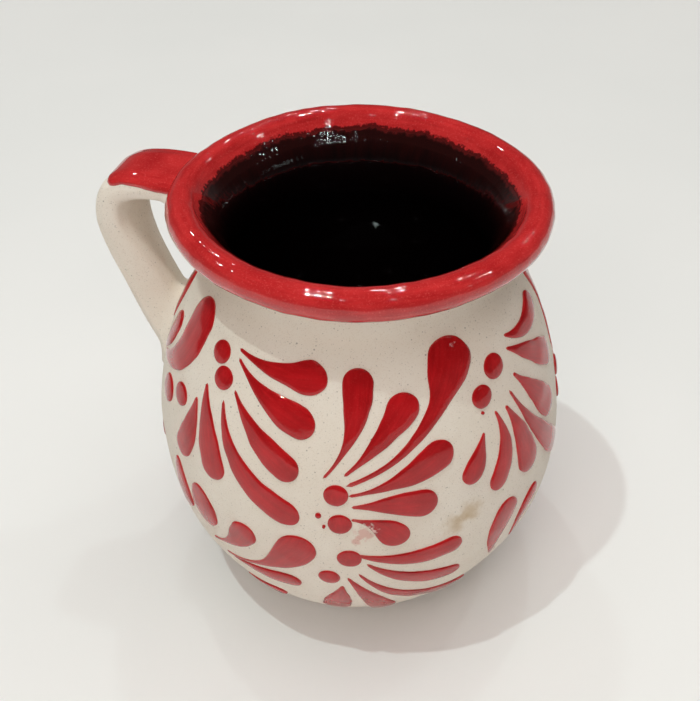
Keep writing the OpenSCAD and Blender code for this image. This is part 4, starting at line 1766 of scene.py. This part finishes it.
@dataclass
class Studio:
    """The pale floor, the lamps, the light of the room and the camera.

    Attributes:
        aim: What the lamps point at.
        floor_half: Half the side of the floor.
        lens: Focal length of the camera.
        eye: Place of the camera.
        pitch: How far it looks down, in degrees.
        roll: How far it is rolled, in degrees.
        room: Strength of the light from above.
        walls: Strength of the light from the walls of the room, at the floor's height.
        wall_top: Height on the sky, from 0 to 1, at which the walls have faded into the room.
        backdrop: Strength of the pale backdrop that only the camera sees.
        sky: Colour of the light of the room.
        warm: Colour of the fills.
        cool: Colour of the other lamps.
        table: Colours of the table's darker and lighter patches.
        lamps: The lamps.
    """

    aim: Row = (0, 0, 60 * MM)
    floor_half: float = 1.4
    lens: float = 57.52
    eye: Row = (-2.3 * MM, -217.4 * MM, 237.1 * MM)
    pitch: float = 38.83
    roll: float = -0.21
    room: float = 0.02
    walls: float = 0.12
    wall_top: float = 0.35
    backdrop: float = 0.71
    sky: Colour = (1.0, 0.985, 0.965, 1)
    warm: Row = (1.0, 0.93, 0.88)
    cool: Row = (0.83, 1.0, 0.98)
    table: tuple[Colour, Colour] = ((0.835, 0.83, 0.825, 1), (0.865, 0.855, 0.85, 1))
    lamps: tuple[Lamp, ...] = (
        Lamp("front_left_lamp", (-31, -18, 107), 1.5, 0.03, 4.6),
        Lamp("back_right_lamp", (15, 39, 107), 1.6, 0.035, 1.3),
        Lamp("back_left_lamp", (-20, 38, 107), 1.6, 0.035, 1.2),
        Lamp("right_lamp", (57, 34, 107), 1.7, 0.04, 0.9),
        Lamp("ceiling_fill", (0.05, 0.05, 1), 2.2, 2.7, 34.0, Glow.FILL),
        Lamp("front_fill", (-0.2, -1, 0.8), 2.2, 1.8, 19.5, Glow.FILL),
        Lamp("side_glint", (83, -34, 45), 2.0, 0.14, 0.12, Glow.GLINT),
        Lamp("low_side_glint", (78, -20, 40), 2.0, 0.06, 0.06, Glow.GLINT),
        Lamp("left_glint", (-60, 10, 60), 1.4, 0.035, 0.35, Glow.GLINT),
        Lamp("far_left_glint", (-35, 60, 70), 1.6, 0.04, 0.45, Glow.GLINT),
        Lamp("far_glint", (5, 75, 80), 1.6, 0.035, 0.45, Glow.GLINT),
        Lamp("far_right_glint", (45, 55, 60), 1.6, 0.04, 0.45, Glow.GLINT),
        Lamp("right_glint", (70, -5, 65), 1.4, 0.035, 0.35, Glow.GLINT),
        Lamp("front_right_glint", (35, -60, 90), 1.5, 0.03, 0.3, Glow.GLINT),
        Lamp("front_glint", (-10, -60, 110), 1.5, 0.03, 0.3, Glow.GLINT),
    )

    def floor(self) -> None:
        """Builds the floor, which is not part of the mug."""
        mesh = bmesh.new()
        bmesh.ops.create_grid(mesh, x_segments=8, y_segments=8, size=self.floor_half)
        data = bpy.data.meshes.new("table_top")
        mesh.to_mesh(data)
        mesh.free()
        bench = NodeBench("pale_table")
        shade = bench.spread(bench.cloud(0.16, 3.0), 0.3, 0.7)
        colour = bench.blend(shade, *self.table)
        normal = bench.relief(bench.cloud(0.9 * MM, 3.0), 0.02 * MM, 0.3)
        finish = bench.dress(
            Base_Color=colour, Roughness=0.55, Normal=normal, Specular_IOR_Level=0.25
        )
        data.materials.append(finish)
        table = bpy.data.objects.new("table_top", data)
        bpy.context.scene.collection.objects.link(table)

    def light(self) -> None:
        """Hangs the lamps."""
        aim = Vector(self.aim)
        for lamp in self.lamps:
            data = bpy.data.lights.new(lamp.name, "AREA")
            data.shape, data.size, data.energy = "DISK", lamp.width, lamp.power
            data.color = self.warm if lamp.glow is Glow.FILL else self.cool
            away = Vector(lamp.towards).normalized()
            lit = bpy.data.objects.new(lamp.name, data)
            lit.location = aim + away * lamp.distance
            lit.rotation_euler = (-away).to_track_quat("-Z", "Y").to_euler()
            lit.visible_glossy = lamp.glow is not Glow.FILL
            lit.visible_diffuse = lamp.glow is not Glow.GLINT
            bpy.context.scene.collection.objects.link(lit)

    def air(self) -> None:
        """Sets the light of the room, which fades upwards, and the backdrop."""
        world = bpy.data.worlds.new("room")
        world.use_nodes = True
        tree = world.node_tree
        sky = tree.nodes["Background"]
        sky.inputs[0].default_value = self.sky
        split = tree.nodes.new("ShaderNodeSeparateXYZ")
        towards = tree.nodes.new("ShaderNodeTexCoord").outputs["Generated"]
        tree.links.new(towards, split.inputs[0])
        fall = tree.nodes.new("ShaderNodeMapRange")
        fall.interpolation_type = "SMOOTHSTEP"
        levels = (0.0, self.wall_top, self.walls, self.room)
        for socket, value in zip(fall.inputs[1:], levels, strict=False):
            socket.default_value = value
        tree.links.new(split.outputs[2], fall.inputs[0])
        seen = tree.nodes.new("ShaderNodeMix")
        direct = tree.nodes.new("ShaderNodeLightPath").outputs["Is Camera Ray"]
        tree.links.new(direct, seen.inputs[0])
        tree.links.new(fall.outputs[0], seen.inputs[2])
        seen.inputs[3].default_value = self.backdrop
        tree.links.new(seen.outputs[0], sky.inputs[1])
        bpy.context.scene.world = world
        bpy.context.scene.view_settings.view_transform = "Standard"

    def camera(self) -> None:
        """Sets the camera where the photograph was taken from."""
        data = bpy.data.cameras.new("camera")
        data.lens = self.lens
        data.clip_start, data.clip_end = 0.01, 50
        camera = bpy.data.objects.new("camera", data)
        camera.location = self.eye
        look = Euler((math.radians(90 - self.pitch), 0, 0)).to_matrix()
        turned_view = look @ Matrix.Rotation(math.radians(self.roll), 3, "Z")
        camera.rotation_euler = turned_view.to_euler()
        bpy.context.scene.collection.objects.link(camera)
        bpy.context.scene.camera = camera


def main() -> None:
    """Builds the mug and its studio."""
    logging.basicConfig(level=logging.INFO, format="%(name)s: %(message)s")
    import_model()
    trailed = RedGlaze(
        name="trailed_red_glaze",
        deep=(0.35, 0.005, 0.007, 1),
        bright=(0.53, 0.011, 0.015, 1),
        chip=((1.3 * MM, -50.2 * MM, 50.7 * MM), 2.6 * MM),
        speckle=0.12,
        pebble=0.016 * MM,
        shine=0.2,
    )
    built = (finish.build() for finish in (BareClay(), RedGlaze(), trailed, DarkGlaze()))
    bench = Bench(WallLine(), PottersHand(), Finishes(*built))
    body = ThrownBody(bench)
    handle = StrapHandle(bench)
    glaze = TrailedGlaze(bench)
    for build in (body.clay, body.inner_glaze, body.rim_glaze, handle.strap, handle.red_top):
        build()
    for spray in SPRAYS:
        glaze.spray(spray)
    studio = Studio()
    for build in (studio.floor, studio.light, studio.air, studio.camera):
        build()


if __name__ == "__main__":
    main()
